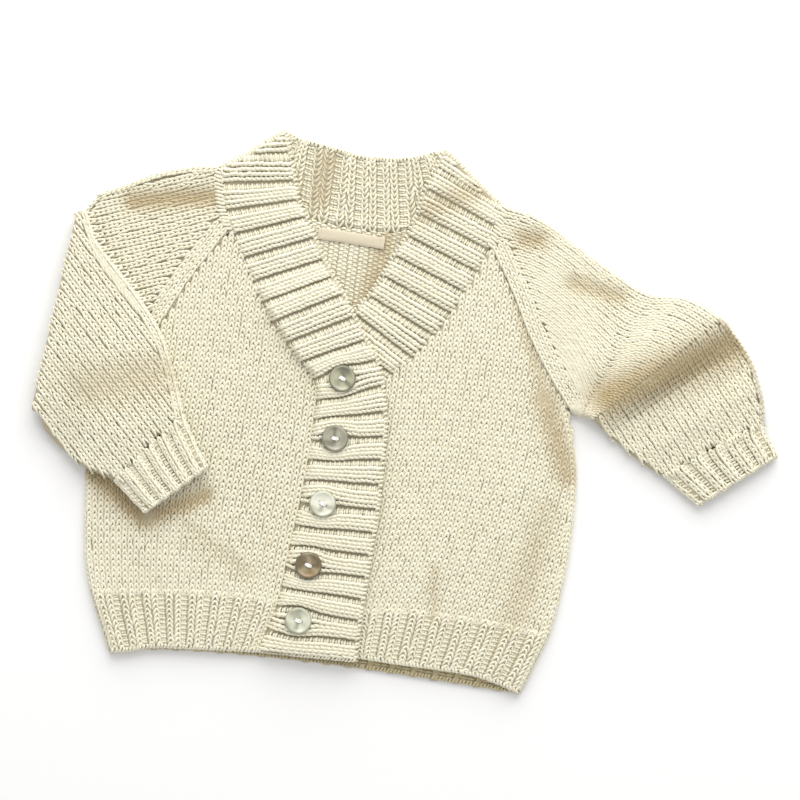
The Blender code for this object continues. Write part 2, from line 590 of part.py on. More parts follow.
def sleeve_centre(table, row, shares, start):
    """Middle of the flattened tube at one row, at these shares of its width from the shoulder edge."""
    a_x, a_y, b_x, b_y, a_z, b_z, sink_from, full, lift, raglan = smooth(table, row)
    a, b = np.array([a_x, a_y]), np.array([b_x, b_y])
    plan = a + shares[:, None] * (b - a)
    if raglan > 0.001:
        first, last = np.array(table[0][1:3]), np.array(table[0][3:5])
        straight = first + shares[:, None] * (last - first)
        plan = plan + raglan * (raglan_line(shares, *start) - straight)
    sunk = smoothstep(sink_from, 1.0, shares)
    profile = LIFT_AT_SHOULDER_EDGE + LIFT_MIDDLE * np.sin(np.pi * shares)
    profile = profile - LIFT_LOST_AT_UNDERARM * shares**3
    puff = full * np.sin(np.pi * np.clip(shares, 0, 1))
    height = a_z + (b_z - a_z) * sunk + max(lift, 0.0) * profile + puff
    return np.column_stack([plan, height]), puff


def left_sleeve_centre(row, shares):
    return sleeve_centre(LEFT_SLEEVE, row, shares, LEFT_START)


def right_sleeve_centre(row, shares):
    """As the left one, but between rows 5 and 6 the tube turns up and over along the fold."""
    if row <= 5:
        return sleeve_centre(RIGHT_SLEEVE_UNDER, row, shares, RIGHT_START)
    if row >= 6:
        return sleeve_centre(RIGHT_SLEEVE_OVER, row, shares, RIGHT_START)
    centre, puff = sleeve_centre(RIGHT_SLEEVE_UNDER, 5, shares, RIGHT_START)
    fold = centre[-1, :2] - centre[0, :2]
    outward = np.array([fold[1], -fold[0]]) / np.linalg.norm(fold)
    angle = (row - 5) * math.pi
    centre[:, :2] += outward * FOLD_RADIUS * math.sin(angle)
    centre[:, 2] += FOLD_RADIUS * (1 - math.cos(angle))
    return centre, puff


def ring_places(width, radius, upper, lower):
    """Shares and half-depths round a flattened ring whose two ends are half circles of this radius."""
    end = radius / width
    bend = math.sin(math.radians(45))
    first_end = [(end * (1 - bend), bend), (end, 1.0)]
    last_end = [(1 - share, depth) for share, depth in first_end[::-1]]
    over = first_end + [(share, 1.0) for share in upper] + last_end
    under = first_end + [(share, 1.0) for share in lower] + last_end
    places = [(0.0, 0.0)] + over + [(1.0, 0.0)] + [(share, -depth) for share, depth in under[::-1]]
    return np.array(places).T


def sleeve_normal(centre_of, row, shares, first, last):
    """Which way the cloth's outside faces at these shares of a row."""
    before, _ = centre_of(max(row - NUDGE, first), shares)
    after, _ = centre_of(min(row + NUDGE, last), shares)
    towards_a, _ = centre_of(row, shares - NUDGE)
    towards_b, _ = centre_of(row, shares + NUDGE)
    normal = np.cross(towards_b - towards_a, after - before)
    return normal / np.linalg.norm(normal, axis=1, keepdims=True)


def sleeve_rings(centre_of, at, upper, lower, raised):
    """Outer and inner rings of a sleeve at these rows. Raised says how high its ribs are."""
    outer, inner = [], []
    for row in at:
        ends, _ = centre_of(row, np.array([0.0, 1.0]))
        width = np.linalg.norm(ends[1] - ends[0])
        for rings, radius, margin in (
            (outer, SLEEVE_DEPTH / 2, 0.0),
            (inner, SLEEVE_AIR / 2, WALL / width),
        ):
            shares, depth = ring_places(width, radius, upper, lower)
            ribs = raised(shares, depth) if rings is outer else 0.0
            shares = margin + shares * (1 - 2 * margin)
            centre, puff = centre_of(row, shares)
            reach = (radius + puff) * depth + ribs
            normal = sleeve_normal(centre_of, row, shares, at[0], at[-1])
            rings.append(centre + normal * reach[:, None])
    return np.array(outer), np.array(inner)


def cuff_ribs(shares, depth):
    """Ribs on the side of a cuff that faces up."""
    return RIB_RAISE * rib_wave(shares * CUFF_RIBS) * (depth > 0.99)


def no_ribs(shares, depth):
    return np.zeros(len(shares))


def sleeve(name, centre_of, sleeve_at, cuff_at):
    """A sleeve and its cuff."""
    outer, inner = sleeve_rings(centre_of, sleeve_at, SLEEVE_SHARES, SLEEVE_SHARES, no_ribs)
    tube(f"{name}_sleeve", outer, inner, "knit_cream")
    across = [CUFF_MARGIN + (1 - 2 * CUFF_MARGIN) * place / CUFF_RIBS for place in rib_steps(0, CUFF_RIBS)]
    outer, inner = sleeve_rings(centre_of, cuff_at, across, CUFF_UNDER_SHARES, cuff_ribs)
    tube(f"{name}_cuff", outer, inner, "rib_cream")


def button(name, x, y, z, material):
    """A turned shell button with a rim, a shallow dish and two holes."""
    angles = np.linspace(0, 2 * math.pi, BUTTON_SIDES, endpoint=False)
    circle = np.column_stack([np.cos(angles), np.sin(angles)])
    points, faces = [], []
    for radius, height in BUTTON_PROFILE:
        plan = circle * radius + (x, y)
        points.append(np.column_stack([plan, np.full(BUTTON_SIDES, z + height)]))
    for first in range(0, BUTTON_SIDES * (len(BUTTON_PROFILE) - 1), BUTTON_SIDES):
        for step in range(BUTTON_SIDES):
            here, after = first + step, first + (step + 1) % BUTTON_SIDES
            faces.append((here, after, after + BUTTON_SIDES, here + BUTTON_SIDES))
    size = BUTTON_SIDES * len(BUTTON_PROFILE)
    faces.append(range(BUTTON_SIDES))
    faces.append(range(size - BUTTON_SIDES, size))
    obj = make_object(name, np.concatenate(points), faces, material)
    for number, side in enumerate((-1, 1), start=1):
        cut_hole(obj, f"{name}_hole_{number}", x + side * HOLE_SPACING / 2, y, z)


def cut_hole(obj, name, x, y, z):
    """A round hole through a button, along the line of its thread."""
    mesh = bpy.data.meshes.new(name)
    shape = bmesh.new()
    depth = 3 * BUTTON_THICKNESS * MM
    radius = HOLE_RADIUS * MM
    bmesh.ops.create_cone(
        shape, cap_ends=True, segments=HOLE_SIDES, radius1=radius, radius2=radius, depth=depth
    )
    shape.to_mesh(mesh)
    shape.free()
    cutter = bpy.data.objects.new(name, mesh)
    bpy.context.scene.collection.objects.link(cutter)
    cutter.parent = obj
    cutter.location = (x * MM, y * MM, (z + BUTTON_THICKNESS / 2) * MM)
    cutter.hide_render = True
    cutter.display_type = "WIRE"
    hole = obj.modifiers.new(name, "BOOLEAN")
    hole.operation = "DIFFERENCE"
    hole.object = cutter


def buttons():
    z = OVERLAP_Z + RIB_WALL + RIB_RAISE + REST_GAP
    for number, ((x, y), material) in enumerate(zip(BUTTONS, BUTTON_FINISHES), start=1):
        button(f"button_{number}", x, y, z, material)


def neck_label():
    """A bare woven tape on the inside of the back, just under the neck seam."""
    length, width, thickness = LABEL_SIZE
    along_x = np.linspace(-length / 2, length / 2, 5)
    along_y = np.array([-width / 2, width / 2])
    x, y = np.meshgrid(along_x, along_y)
    cosine, sine = math.cos(LABEL_TURN), math.sin(LABEL_TURN)
    plan = np.stack([x * cosine - y * sine, x * sine + y * cosine], axis=-1) + LABEL_AT
    bottom = np.full(x.shape, WALL + REST_GAP)
    wall("neck_label", plan, bottom + thickness, bottom, "label_tape")


def centre_over_origin():
    """Moves the whole garment so that the middle of its box stands over the origin."""
    bpy.context.view_layer.update()
    solids = [obj for obj in bpy.data.objects if not obj.hide_render]
    corners = np.array([obj.matrix_world @ vertex.co for obj in solids for vertex in obj.data.vertices])
    middle = (corners.min(axis=0) + corners.max(axis=0)) / 2
    for obj in solids:
        obj.location.x -= float(middle[0])
        obj.location.y -= float(middle[1])


def main():
    clear_scene()
    back()
    neck_band()
    neck_label()
    for front in (RIGHT_FRONT, LEFT_FRONT):
        front_panel(front)
        front_hem(front)
    front_band("left_front_band", LEFT_BAND, 0.0, LEFT_FOLD_SAG)
    front_band("right_front_band", RIGHT_BAND, 1.0, RIGHT_FOLD_SAG)
    sleeve("left", left_sleeve_centre, LEFT_SLEEVE_AT, LEFT_CUFF_AT)
    sleeve("right", right_sleeve_centre, RIGHT_SLEEVE_AT, RIGHT_CUFF_AT)
    buttons()
    centre_over_origin()


main()
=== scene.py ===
"""Hand-knitted baby cardigan laid flat, dressed stitch by stitch over its plain solids.

X runs across the garment, Y up its centre line and Z up from the floor. Left and right are the wearer's, so
the right front is at -X. Lengths are in millimetres in the garment's own frame until a mesh is written.
"""

import math
from collections import namedtuple

import bmesh
import bpy
import numpy as np
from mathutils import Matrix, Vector
from mathutils.bvhtree import BVHTree


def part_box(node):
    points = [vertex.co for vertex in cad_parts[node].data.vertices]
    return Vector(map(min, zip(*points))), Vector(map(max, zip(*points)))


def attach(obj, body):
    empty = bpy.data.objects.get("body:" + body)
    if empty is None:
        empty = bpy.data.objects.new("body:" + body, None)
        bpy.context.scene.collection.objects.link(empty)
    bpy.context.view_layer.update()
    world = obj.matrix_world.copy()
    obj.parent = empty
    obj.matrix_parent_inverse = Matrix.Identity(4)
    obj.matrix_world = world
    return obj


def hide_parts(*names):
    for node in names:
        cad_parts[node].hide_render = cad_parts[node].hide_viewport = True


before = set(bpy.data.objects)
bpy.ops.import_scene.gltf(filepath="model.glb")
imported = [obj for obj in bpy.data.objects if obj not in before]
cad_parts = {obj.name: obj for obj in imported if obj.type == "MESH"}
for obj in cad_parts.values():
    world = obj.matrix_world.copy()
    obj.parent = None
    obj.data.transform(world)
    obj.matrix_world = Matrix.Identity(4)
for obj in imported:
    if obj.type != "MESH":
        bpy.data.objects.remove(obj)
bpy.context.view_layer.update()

bl_info = {
    "name": "Knitted Baby Cardigan",
    "version": (1, 0, 0),
    "blender": (4, 5, 0),
    "location": "3D View > Sidebar > Cardigan",
    "description": "Knits a baby cardigan stitch by stitch over its plain solids",
    "category": "Add Mesh",
}

MM = 0.001
BODY = "root"

# ---------------------------------------------------------------- the garment's own sizes, as in the solids

WALL = 2.4
RIB_WALL = 2.2
NECK_RIB_WALL = 1.6
RIB_RAISE = 1.2
NECK_RIB_RAISE = 0.9
BACK_HEM_RAISE = 0.5
LAYER_GAP = 0.4
EDGE_DROP = 1.3
FRONT_Z = WALL + LAYER_GAP
OVERLAP_Z = FRONT_Z + RIB_WALL + RIB_RAISE + LAYER_GAP

SLEEVE_DEPTH = 2 * WALL + 0.8
FOLD_RADIUS = 3.45
LIFT_AT_SHOULDER_EDGE = 0.8
LIFT_MIDDLE = 0.2
LIFT_LOST_AT_UNDERARM = 0.4

HEM_RIBS = 8
BACK_HEM_RIBS = 19
CUFF_RIBS = 5
CUFF_MARGIN = 0.07

# A ribbed band is a strip between its seam edge and its free edge. Each row is a line across it. The rib
# columns count the ribs along each edge, and differ only where the band turns over the shoulder.
BandRow = namedtuple("BandRow", "row rib_seam rib_free seam_x seam_y free_x free_y")


def band_rows(*rows):
    """Rows of a band. One of five numbers has as many ribs along both edges as its row says."""
    return [BandRow(*row) if len(row) == 7 else BandRow(row[0], row[0], *row) for row in rows]


RIGHT_BAND = band_rows(
    (-1.0, -30.5, -149.0, 28.0, -147.5),
    (1.0, -22.5, -121.5, 28.0, -123.5),
    (4.0, -19.0, -84.5, 29.5, -84.0),
    (6.0, -16.0, -58.0, 30.5, -56.5),
    (8.0, -14.5, -31.5, 30.0, -26.5),
    (9.5, -14.0, -14.0, 29.0, -5.5),
    (11.0, -14.0, 4.0, 24.5, 17.5),
    (12.0, -17.0, 16.5, 19.5, 32.5),
    (13.0, -26.5, 25.0, 11.5, 43.5),
    (15.0, -45.5, 47.0, -5.5, 69.0),
    (17.0, -60.5, 69.5, -19.5, 88.5),
    (19.0, -76.0, 96.0, -33.0, 112.5),
    (20.0, -83.0, 109.5, -39.0, 122.0),
    (21.0, 20.75, 21.4, -86.0, 122.0, -44.0, 138.5),
    (21.8, 21.35, 22.6, -87.5, 132.1, -51.0, 159.5),
    (22.0, 21.5, 22.8, -88.0, 135.5, -52.0, 162.5),
)
LEFT_BAND = band_rows(
    (-0.7, 25.5, -145.0, -23.0, -146.5),
    (1.0, 26.0, -123.5, -16.0, -121.5),
    (4.0, 28.0, -84.0, -12.5, -85.0),
    (6.0, 29.0, -57.0, -10.0, -58.0),
    (8.0, 28.0, -27.0, -8.5, -30.0),
    (10.0, 25.5, -0.5, -8.0, 4.5),
    (11.0, 24.5, 12.5, -7.5, 25.5),
    (12.0, 29.5, 25.0, -3.5, 43.0),
    (13.0, 40.5, 36.0, 2.5, 58.5),
    (14.0, 51.5, 51.0, 10.5, 70.0),
    (15.0, 60.0, 65.5, 17.0, 83.0),
    (16.0, 67.0, 79.0, 22.5, 96.0),
    (17.0, 73.0, 92.0, 29.0, 108.5),
    (18.0, 78.0, 106.0, 33.5, 122.5),
    (19.0, 81.5, 120.0, 36.5, 138.0),
    (19.8, 19.8, 20.55, 83.4, 130.2, 44.4, 159.6),
    (20.0, 20.0, 20.7, 84.0, 133.5, 45.5, 162.5),
)
NECK_BAND = band_rows(
    (0.3, -84.3, 133.9, -48.4, 160.8),
    (1.0, -60.0, 123.0, -43.5, 158.5),
    (2.0, -35.0, 112.5, -35.0, 157.3),
    (3.0, -17.5, 109.5, -17.5, 154.8),
    (4.0, -1.5, 108.5, -5.5, 152.5),
    (5.0, 12.5, 108.5, 6.5, 152.9),
    (6.0, 26.5, 111.0, 19.0, 154.0),
    (7.0, 47.0, 117.5, 31.0, 157.0),
    (8.0, 67.5, 126.5, 38.0, 160.2),
    (8.7, 80.3, 131.9, 41.3, 161.2),
)
NECK_BEAD = 1.3
NECK_BEAD_ROWS = (2.6, 6.6)

# Where a front band turns over the shoulder: the least height of its edge, how far its stitches sink into the
# solid, how many rows before its last stretch it starts, and how far its stitches stay from its end
TURNED_EDGE = 2.6
TURNED_SUNK = 0.3
TURNS_BY = 0.5
END_MARGIN = 0.6
# How far each band's end hangs below the straight, over what share of its width the right band climbs on the
# left one, and over which rows it comes down again
RIGHT_FOLD_SAG = 1.0
LEFT_FOLD_SAG = 2.4
RISE_SHARE = 0.11
OVERLAP_ENDS = (15.0, 17.5)

# A front with its hem. Side, hem_side and raglan run upwards, and rib_top and hem run from the side seam
# towards the band. The wale edges give, for each height y, the lines that the outermost and innermost
# columns of stitches follow; the side, the raglan and the band cut across them. The arch is how far the rows
# rise from the side: by the first number times the share of the way to the band, and the second times its
# square.
WaleEdge = namedtuple("WaleEdge", "y side band")
Front = namedtuple(
    "Front",
    "name band hem_row raglan_row side hem_side raglan rib_top hem wales edges arch outward",
)
RIGHT_FRONT = Front(
    name="right",
    band=RIGHT_BAND,
    hem_row=1.3,
    raglan_row=19.2,
    side=[
        (-134.0, -124.5), (-139.0, -108.0), (-141.5, -90.0), (-143.5, -72.0),
        (-145.5, -51.0), (-144.5, -33.0), (-139.5, -14.0), (-129.0, 3.5),
    ],
    hem_side=[(-118.0, -160.0), (-123.5, -148.0), (-129.0, -136.5), (-134.0, -124.5)],
    raglan=[(-129.0, 3.5), (-112.5, 36.0), (-92.5, 74.5)],
    rib_top=[(-134.0, -124.5), (-119.5, -122.5), (-89.5, -119.0), (-58.0, -116.5), (-42.5, -116.0)],
    hem=[(-118.0, -160.0), (-107.0, -158.0), (-97.0, -155.0), (-71.0, -152.0), (-57.0, -151.0)],
    wales=34,
    edges=[
        WaleEdge(-160.0, -121.0, -31.0),
        WaleEdge(-121.0, -135.0, -22.5),
        WaleEdge(-84.0, -142.0, -19.0),
        WaleEdge(-50.0, -145.5, -15.5),
        WaleEdge(-20.0, -143.0, -14.0),
        WaleEdge(20.0, -138.0, -14.0),
        WaleEdge(60.0, -136.0, -14.0),
        WaleEdge(140.0, -136.0, -12.0),
    ],
    arch=(20.0, -13.0),
    outward=-1.0,
)
LEFT_FRONT = Front(
    name="left",
    band=LEFT_BAND,
    hem_row=1.5,
    raglan_row=18.1,
    side=[
        (142.0, -117.0), (144.5, -103.0), (146.5, -85.0), (147.5, -63.5),
        (147.5, -42.5), (146.5, -24.5), (142.5, -4.0), (135.5, 18.0),
    ],
    hem_side=[(128.5, -154.5), (131.5, -147.0), (135.0, -137.5), (138.5, -128.0), (142.0, -117.0)],
    raglan=[(135.5, 18.0), (122.5, 34.5), (110.5, 52.0), (92.5, 84.5)],
    rib_top=[(142.0, -117.0), (129.0, -116.5), (110.5, -114.5), (86.5, -113.5), (60.0, -113.0)],
    hem=[(128.5, -154.5), (115.0, -150.5), (101.0, -147.5), (82.0, -146.5), (50.0, -146.0)],
    wales=32,
    edges=[
        WaleEdge(-160.0, 134.0, 18.0),
        WaleEdge(-118.0, 142.0, 26.0),
        WaleEdge(-85.0, 148.5, 32.5),
        WaleEdge(-50.0, 154.0, 38.0),
        WaleEdge(-14.0, 158.5, 42.5),
        WaleEdge(46.0, 161.0, 45.0),
        WaleEdge(140.0, 161.0, 45.0),
    ],
    arch=(20.0, -17.0),
    outward=1.0,
)
BACK_HEM = [
    (-118.0, -160.0),
    (-97.0, -155.5),
    (-70.5, -153.0),
    (-31.0, -151.3),
    (32.0, -151.2),
    (87.5, -152.8),
    (128.5, -154.5),
]

# Soft folds of the fronts: a low ridge from one point to another
Fold = namedtuple("Fold", "x1 y1 x2 y2 height width")
FRONT_FOLDS = [
    Fold(-100.0, -66.0, -62.0, -92.0, 0.9, 9.0),
    Fold(-116.0, -86.0, -84.0, -112.0, 0.7, 9.0),
    Fold(78.0, -60.0, 66.0, -104.0, 0.8, 7.0),
    Fold(50.0, -52.0, 44.0, -100.0, 0.7, 8.0),
    Fold(104.0, -20.0, 112.0, -84.0, 0.6, 12.0),
    Fold(-50.0, 30.0, -66.0, -30.0, 0.5, 12.0),
]

# A sleeve is a flattened tube. Each row gives its shoulder edge a, its underarm edge b, how full it is, how
# far a fold lifts both walls, how much of the raglan's shape it keeps, the height of the middle of the cloth
# at each edge, and the share of the width at which the underarm edge starts to sink.
FLAT = SLEEVE_DEPTH / 2
OVER = FLAT + 2 * FOLD_RADIUS
SLEEVE_PLACES = "row a_x a_y b_x b_y full lift raglan a_z b_z sink_from"
SleeveRow = namedtuple("SleeveRow", SLEEVE_PLACES, defaults=(0.0, 0.0, 0.0, FLAT, FLAT, 0.6))


def sleeve_rows(*rows):
    return [SleeveRow(*row) for row in rows]


LEFT_SLEEVE = sleeve_rows(
    (0, 84.5, 133.5, 135.5, 18.0, 0.0, 0.0, 1.0),
    (1, 106.5, 128.0, 138.5, 16.5, 0.4, 0.0, 0.4),
    (2, 129.0, 116.0, 141.0, 15.0, 0.8),
    (3, 153.0, 102.0, 144.0, 14.0, 1.0, 0.3),
    (4, 176.0, 91.3, 146.5, 14.0, 1.0, 2.5),
    (5, 199.0, 91.0, 149.0, 13.5, 1.0, 7.0),
    (6, 220.0, 81.5, 151.5, 13.0, 1.0, 10.0),
    (7, 227.5, 74.5, 155.5, 9.5, 0.8, 6.0),
    (8, 234.5, 67.5, 160.5, 5.5, 0.6, 1.5),
    (9, 243.0, 56.5, 169.0, 0.0, 0.8, 0.2),
    (10, 248.0, 45.0, 178.7, -6.5, 1.0, 1.0),
    (11, 252.0, 34.5, 189.0, -12.3, 0.8),
    (12, 253.5, 25.0, 196.7, -15.7, 0.5),
    (13, 255.5, 18.5, 202.5, -18.8, 0.4),
    (14, 260.0, 12.0, 211.0, -24.5, 0.4),
    (15, 264.5, 5.0, 220.5, -30.5, 0.4),
)
RIGHT_SLEEVE_UNDER = sleeve_rows(
    (0, -88.5, 135.5, -129.0, 3.5, 0.0, 0.0, 1.0),
    (1, -106.0, 132.5, -139.0, -1.5, 0.2, 0.0, 0.4),
    (2, -123.0, 127.0, -148.0, -6.0, 0.4),
    (3, -140.0, 118.5, -157.5, -11.0, 0.5),
    (4, -155.5, 110.5, -169.0, -17.0, 0.3),
    (5, -163.5, 99.5, -176.5, -24.0),
)
RIGHT_SLEEVE_OVER = sleeve_rows(
    (6, -163.5, 99.5, -176.5, -24.0, 0.0, 0.0, 0.0, OVER, OVER),
    (7, -154.0, 81.5, -173.5, -33.0, 0.4, 0.0, 0.0, OVER, 7.0, 0.66),
    (8, -137.5, 64.5, -165.0, -41.0, 0.8, 0.0, 0.0, OVER, 4.5, 0.56),
    (9, -121.5, 47.5, -154.0, -48.5, 1.0, 0.0, 0.0, OVER, 6.0, 0.62),
    (10, -110.5, 33.0, -146.0, -53.0, 1.0, 0.0, 0.0, OVER, 8.8, 0.66),
    (11, -102.5, 17.0, -139.0, -55.0, 1.0, 0.0, 0.0, OVER, OVER, 0.66),
    (12, -96.0, 0.5, -133.0, -56.5, 0.8, 0.0, 0.0, OVER, OVER),
    (13, -91.0, -12.5, -128.0, -58.5, 0.4, 0.0, 0.0, OVER, OVER),
    (14, -86.0, -22.5, -122.5, -62.5, 0.4, 0.0, 0.0, OVER, OVER),
    (15, -79.5, -33.0, -115.5, -68.5, 0.4, 0.0, 0.0, OVER, OVER),
    (16, -72.5, -43.0, -107.0, -75.0, 0.4, 0.0, 0.0, OVER, OVER),
)
KNEE_SHARE = 0.2
NECK_STEPS = 4
STAND_OFF = 0.6

BUTTONS = [(0.5, 19.0), (0.5, -17.0), (-2.0, -56.5), (-6.0, -94.0), (-8.0, -127.5)]
BUTTON_Z = OVERLAP_Z + RIB_WALL + RIB_RAISE + 0.3
HOLE_SPACING = 3.6
THREAD_RADIUS = 0.42
LABEL_SIZE = (40.0, 7.0, 0.5)
LABEL_AT = (-4.5, 103.0)
LABEL_TURN = math.radians(-1.5)

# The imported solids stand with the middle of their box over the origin, so the garment's frame is shifted.
_middle = sum(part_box("button_1"), Vector((0, 0, 0))) / 2 / MM
SHIFT = np.array([_middle.x - BUTTONS[0][0], _middle.y - BUTTONS[0][1], 0.0])

# ---------------------------------------------------------------- the yarn and its stitches

SEEDS = {"back": 20, "right_front": 19, "left_front": 21, "bands": 27, "sleeves": 31, "threads": 37}

# How far the body of a cloth stands back from its solid's upper face, and all of them from the lower face
SHELL_INSET = 0.55
FRONT_INSET = 0.9
SOFT_INSET = 1.2
BAND_INSET = 1.25
UNDER_INSET = 0.3

# The lines that the yarn follows in one stitch, each by six points. A point's numbers are its place across in
# stitch widths from the middle of the column, its place along in rows in the direction of knitting, its depth
# in millimetres from the cloth's face, and the share of the yarn's thickness that it has.
KNIT = (
    [
        (0.16, -0.4, -1.3, 0.0), (0.1, -0.06, -0.25, 0.86), (-0.07, 0.32, 0.0, 0.9),
        (-0.21, 0.74, 0.0, 0.9), (-0.3, 1.28, -0.5, 0.81), (-0.33, 1.57, -1.4, 0.0),
    ],
    [
        (0.2, -0.34, -1.3, 0.0), (0.25, 0.0, -0.25, 0.72), (0.34, 0.34, -0.1, 0.86),
        (0.42, 0.74, -0.1, 0.86), (0.46, 1.3, -0.55, 0.77), (0.46, 1.57, -1.4, 0.0),
    ],
)
# In the sleeves and cuffs the columns stand out more: the legs are longer and steeper.
STEEP_KNIT = (
    [
        (0.04, -0.4, -1.3, 0.0), (0.0, -0.1, -0.25, 0.86), (-0.12, 0.32, 0.0, 0.9),
        (-0.23, 0.8, 0.0, 0.9), (-0.3, 1.45, -0.45, 0.81), (-0.32, 1.75, -1.4, 0.0),
    ],
    [
        (0.14, -0.34, -1.3, 0.0), (0.17, -0.05, -0.25, 0.8), (0.25, 0.34, -0.05, 0.86),
        (0.34, 0.8, -0.05, 0.86), (0.39, 1.45, -0.5, 0.77), (0.4, 1.75, -1.4, 0.0),
    ],
)
# A purled stitch's longer end points away from its neighbour in the pair, so that holes run between them.
PURL = (
    [
        (-0.66, 0.3, -1.2, 0.0), (-0.5, 0.1, -0.25, 0.95), (-0.2, -0.02, 0.0, 1.1),
        (0.12, -0.02, 0.0, 1.1), (0.38, 0.12, -0.2, 0.95), (0.52, 0.4, -1.1, 0.0),
    ],
    [
        (-0.6, 0.36, -1.2, 0.0), (-0.42, 0.5, -0.35, 0.9), (-0.1, 0.56, -0.25, 0.95),
        (0.16, 0.54, -0.35, 0.9), (0.34, 0.46, -0.6, 0.75), (0.45, 0.4, -1.2, 0.0),
    ],
)
# In a tight rib the yarn lies along its column, so that each raised column looks like two cords.
TIGHT_KNIT = (
    [
        (-0.16, -0.38, -1.2, 0.0), (-0.18, -0.12, -0.25, 0.9), (-0.23, 0.3, 0.0, 1.0),
        (-0.27, 0.8, 0.0, 1.0), (-0.3, 1.2, -0.35, 0.9), (-0.32, 1.5, -1.3, 0.0),
    ],
    [
        (0.12, -0.34, -1.2, 0.0), (0.16, -0.08, -0.25, 0.9), (0.23, 0.34, 0.0, 1.0),
        (0.32, 0.8, 0.0, 1.0), (0.38, 1.18, -0.35, 0.9), (0.42, 1.45, -1.3, 0.0),
    ],
)

# The purled column of a tight rib shows one short bump a stitch, with a dark gap before the next.
RIB_PURL = (
    [
        (-0.62, 0.1, -1.2, 0.0), (-0.46, 0.02, -0.2, 0.85), (-0.1, -0.04, 0.05, 0.95),
        (0.2, 0.0, 0.0, 0.9), (0.42, 0.08, -0.35, 0.75), (0.55, 0.15, -1.3, 0.0),
    ],
    [
        (-0.55, 0.62, -1.3, 0.0), (-0.4, 0.56, -0.7, 0.85), (-0.1, 0.5, -0.45, 0.95),
        (0.14, 0.5, -0.45, 0.9), (0.3, 0.54, -0.8, 0.75), (0.42, 0.6, -1.4, 0.0),
    ],
)

# Soft hollows of each cloth, along short lines. Width is how far they reach to each side and depth is how far
# they sink, in millimetres, and shade is how much painted shade darkens the yarn in them, standing in for the
# light lost in creases and in shadows cast on the cloth.
Hollow = namedtuple("Hollow", "x1 y1 x2 y2 width depth shade")
HOLLOWS = {
    "right_sleeve": [
        Hollow(-136, 109, -82, 119, 6.5, 1.1, 0.9),
        Hollow(-148, -4, -104, 10, 13.0, 0.9, 0.4),
        Hollow(-160, -22, -128, -30, 8.0, -0.5, 0.0),
    ],
    "left_sleeve": [
        Hollow(98, 115, 106, 116, 6.5, 1.0, 0.75),
        Hollow(130, 93, 157, 88, 6.0, 1.0, 0.6),
        # Painted shade in the crease below the sleeve's fold.
        Hollow(230, 69, 159, 27, 12.5, 1.2, 1.0),
        Hollow(222, 88, 150, 46, 12.0, -0.6, 0.0),
    ],
    "left_front": [
        Hollow(94, 96, 122, 22, 5.0, 0.5, 0.45),
        Hollow(122, 22, 141, -22, 8.0, 0.8, 0.7),
        Hollow(69, -88, 72, -114, 4.0, 0.5, 0.3),
        Hollow(131, -45, 120, -112, 9.0, 0.4, 0.3),
    ],
    "right_front": [
        # These two paint the shadow that the folded cuff casts on the front.
        Hollow(-149, -48, -108, -77, 7.0, 0.6, 1.0),
        Hollow(-104, -77, -73, -60, 6.0, 0.8, 0.9),
        Hollow(-80, -79, -42, -104, 5.0, 0.5, 0.25),
    ],
    "left_band": [Hollow(36, 124, 68, 141, 8.0, 0.3, 0.5)],
    "neck": [Hollow(-25, 146, -27, 124, 7.0, 0.2, 0.6)],
    "back": [Hollow(17, 106, 8, 56, 8.0, 0.2, 0.6)],
}

# The fronts: the heights where rows start and end, over how many they bend to follow the ribbing, how many
# columns the band cuts off, how far the columns round the side reach in, and by how much the rest laps them
FRONT_TOP = 126.0
HEM_LEVEL = -118.0
HEM_FADE = 28.0
CUT_WALES = 6
ROLL_INSET = 3.75
ROLL_LAP = 1.4

# Ribbing: rows in each piece and how many of the back hem's show, columns in a rib, how much room a hem's
# raised columns take from the sunk ones, where the columns of a band's rib start and end, and how far its
# grooves sink below the solid
BAND_COURSES = 16
NECK_COURSES = 14
HEM_COURSES = 12
BACK_HEM_COURSES = 12
BACK_HEM_SHOWN = 4
WALES_A_RIB = 4
HEM_SQUEEZE = 0.11
BAND_COLUMNS = (0.0, 0.04, 0.39, 0.74, 1.0)
BAND_SUNK = 0.95

# The inside of the back: where its columns and rows start, how many they are, and how fine
INSIDE_FROM = (-60.0, 126.0)
INSIDE_WALES = (0, 40)
INSIDE_COURSES = (0, 42)
INSIDE_SCALE = 0.8

# The columns along a raglan: their number, their width, and the height above which there are none
STRIP_WALES = 3
STRIP_WALE = 3.2
STRIP_TOP = 8.5

# How long the stitches of each sleeve are for their width
LEFT_SQUARE = 0.97
RIGHT_SQUARE = 0.87

# How far a sleeve's stitches stay from the band's end, an arm's far edge and their solid's rim, and how far
# they may reach past that rim, lap over a cuff, and bend down over an edge
NECK_MARGIN = 1.0
FAR_MARGIN = 1.1
EDGE_CLEAR = 0.8
EDGE_REACH = 0.8
JOIN_REACH = 2.3
STITCH_DROP = 2.2

# The right sleeve below its fold: the way its columns run, where they are counted from, the columns and rows
# that it may have, how far they stay from the shoulder edge, their greatest height, and the edge's columns
UNDER_ANGLE = math.radians(200.0)
UNDER_FROM = (-80.0, 130.0)
UNDER_WALES = (-12, 24)
UNDER_COURSES = (-6, 40)
UNDER_MARGIN = 0.9
UNDER_TOP = 9.5
UNDER_EDGE_WALES = (-2, 1)

# The rows of the sleeves' tables that the folded arm, the left forearm and the cuffs take up, the columns
# that follow the tube there, and the two sides of the strip over the fold
OVER_ROWS = slice(0, 8)
OVER_EDGE_WALES = (-3, 2)
LOWER_ROWS = slice(6, 13)
LOWER_EDGE_WALES = (-2, 1)
UPPER_WALES = (-2, 30)
LEFT_CUFF_ROWS = (12.05, 14.9)
RIGHT_CUFF_ROWS = (13.05, 15.9)
FOLD_STRIP = (np.array([0.4, 0.0]), np.array([-8.0, 0.0]))

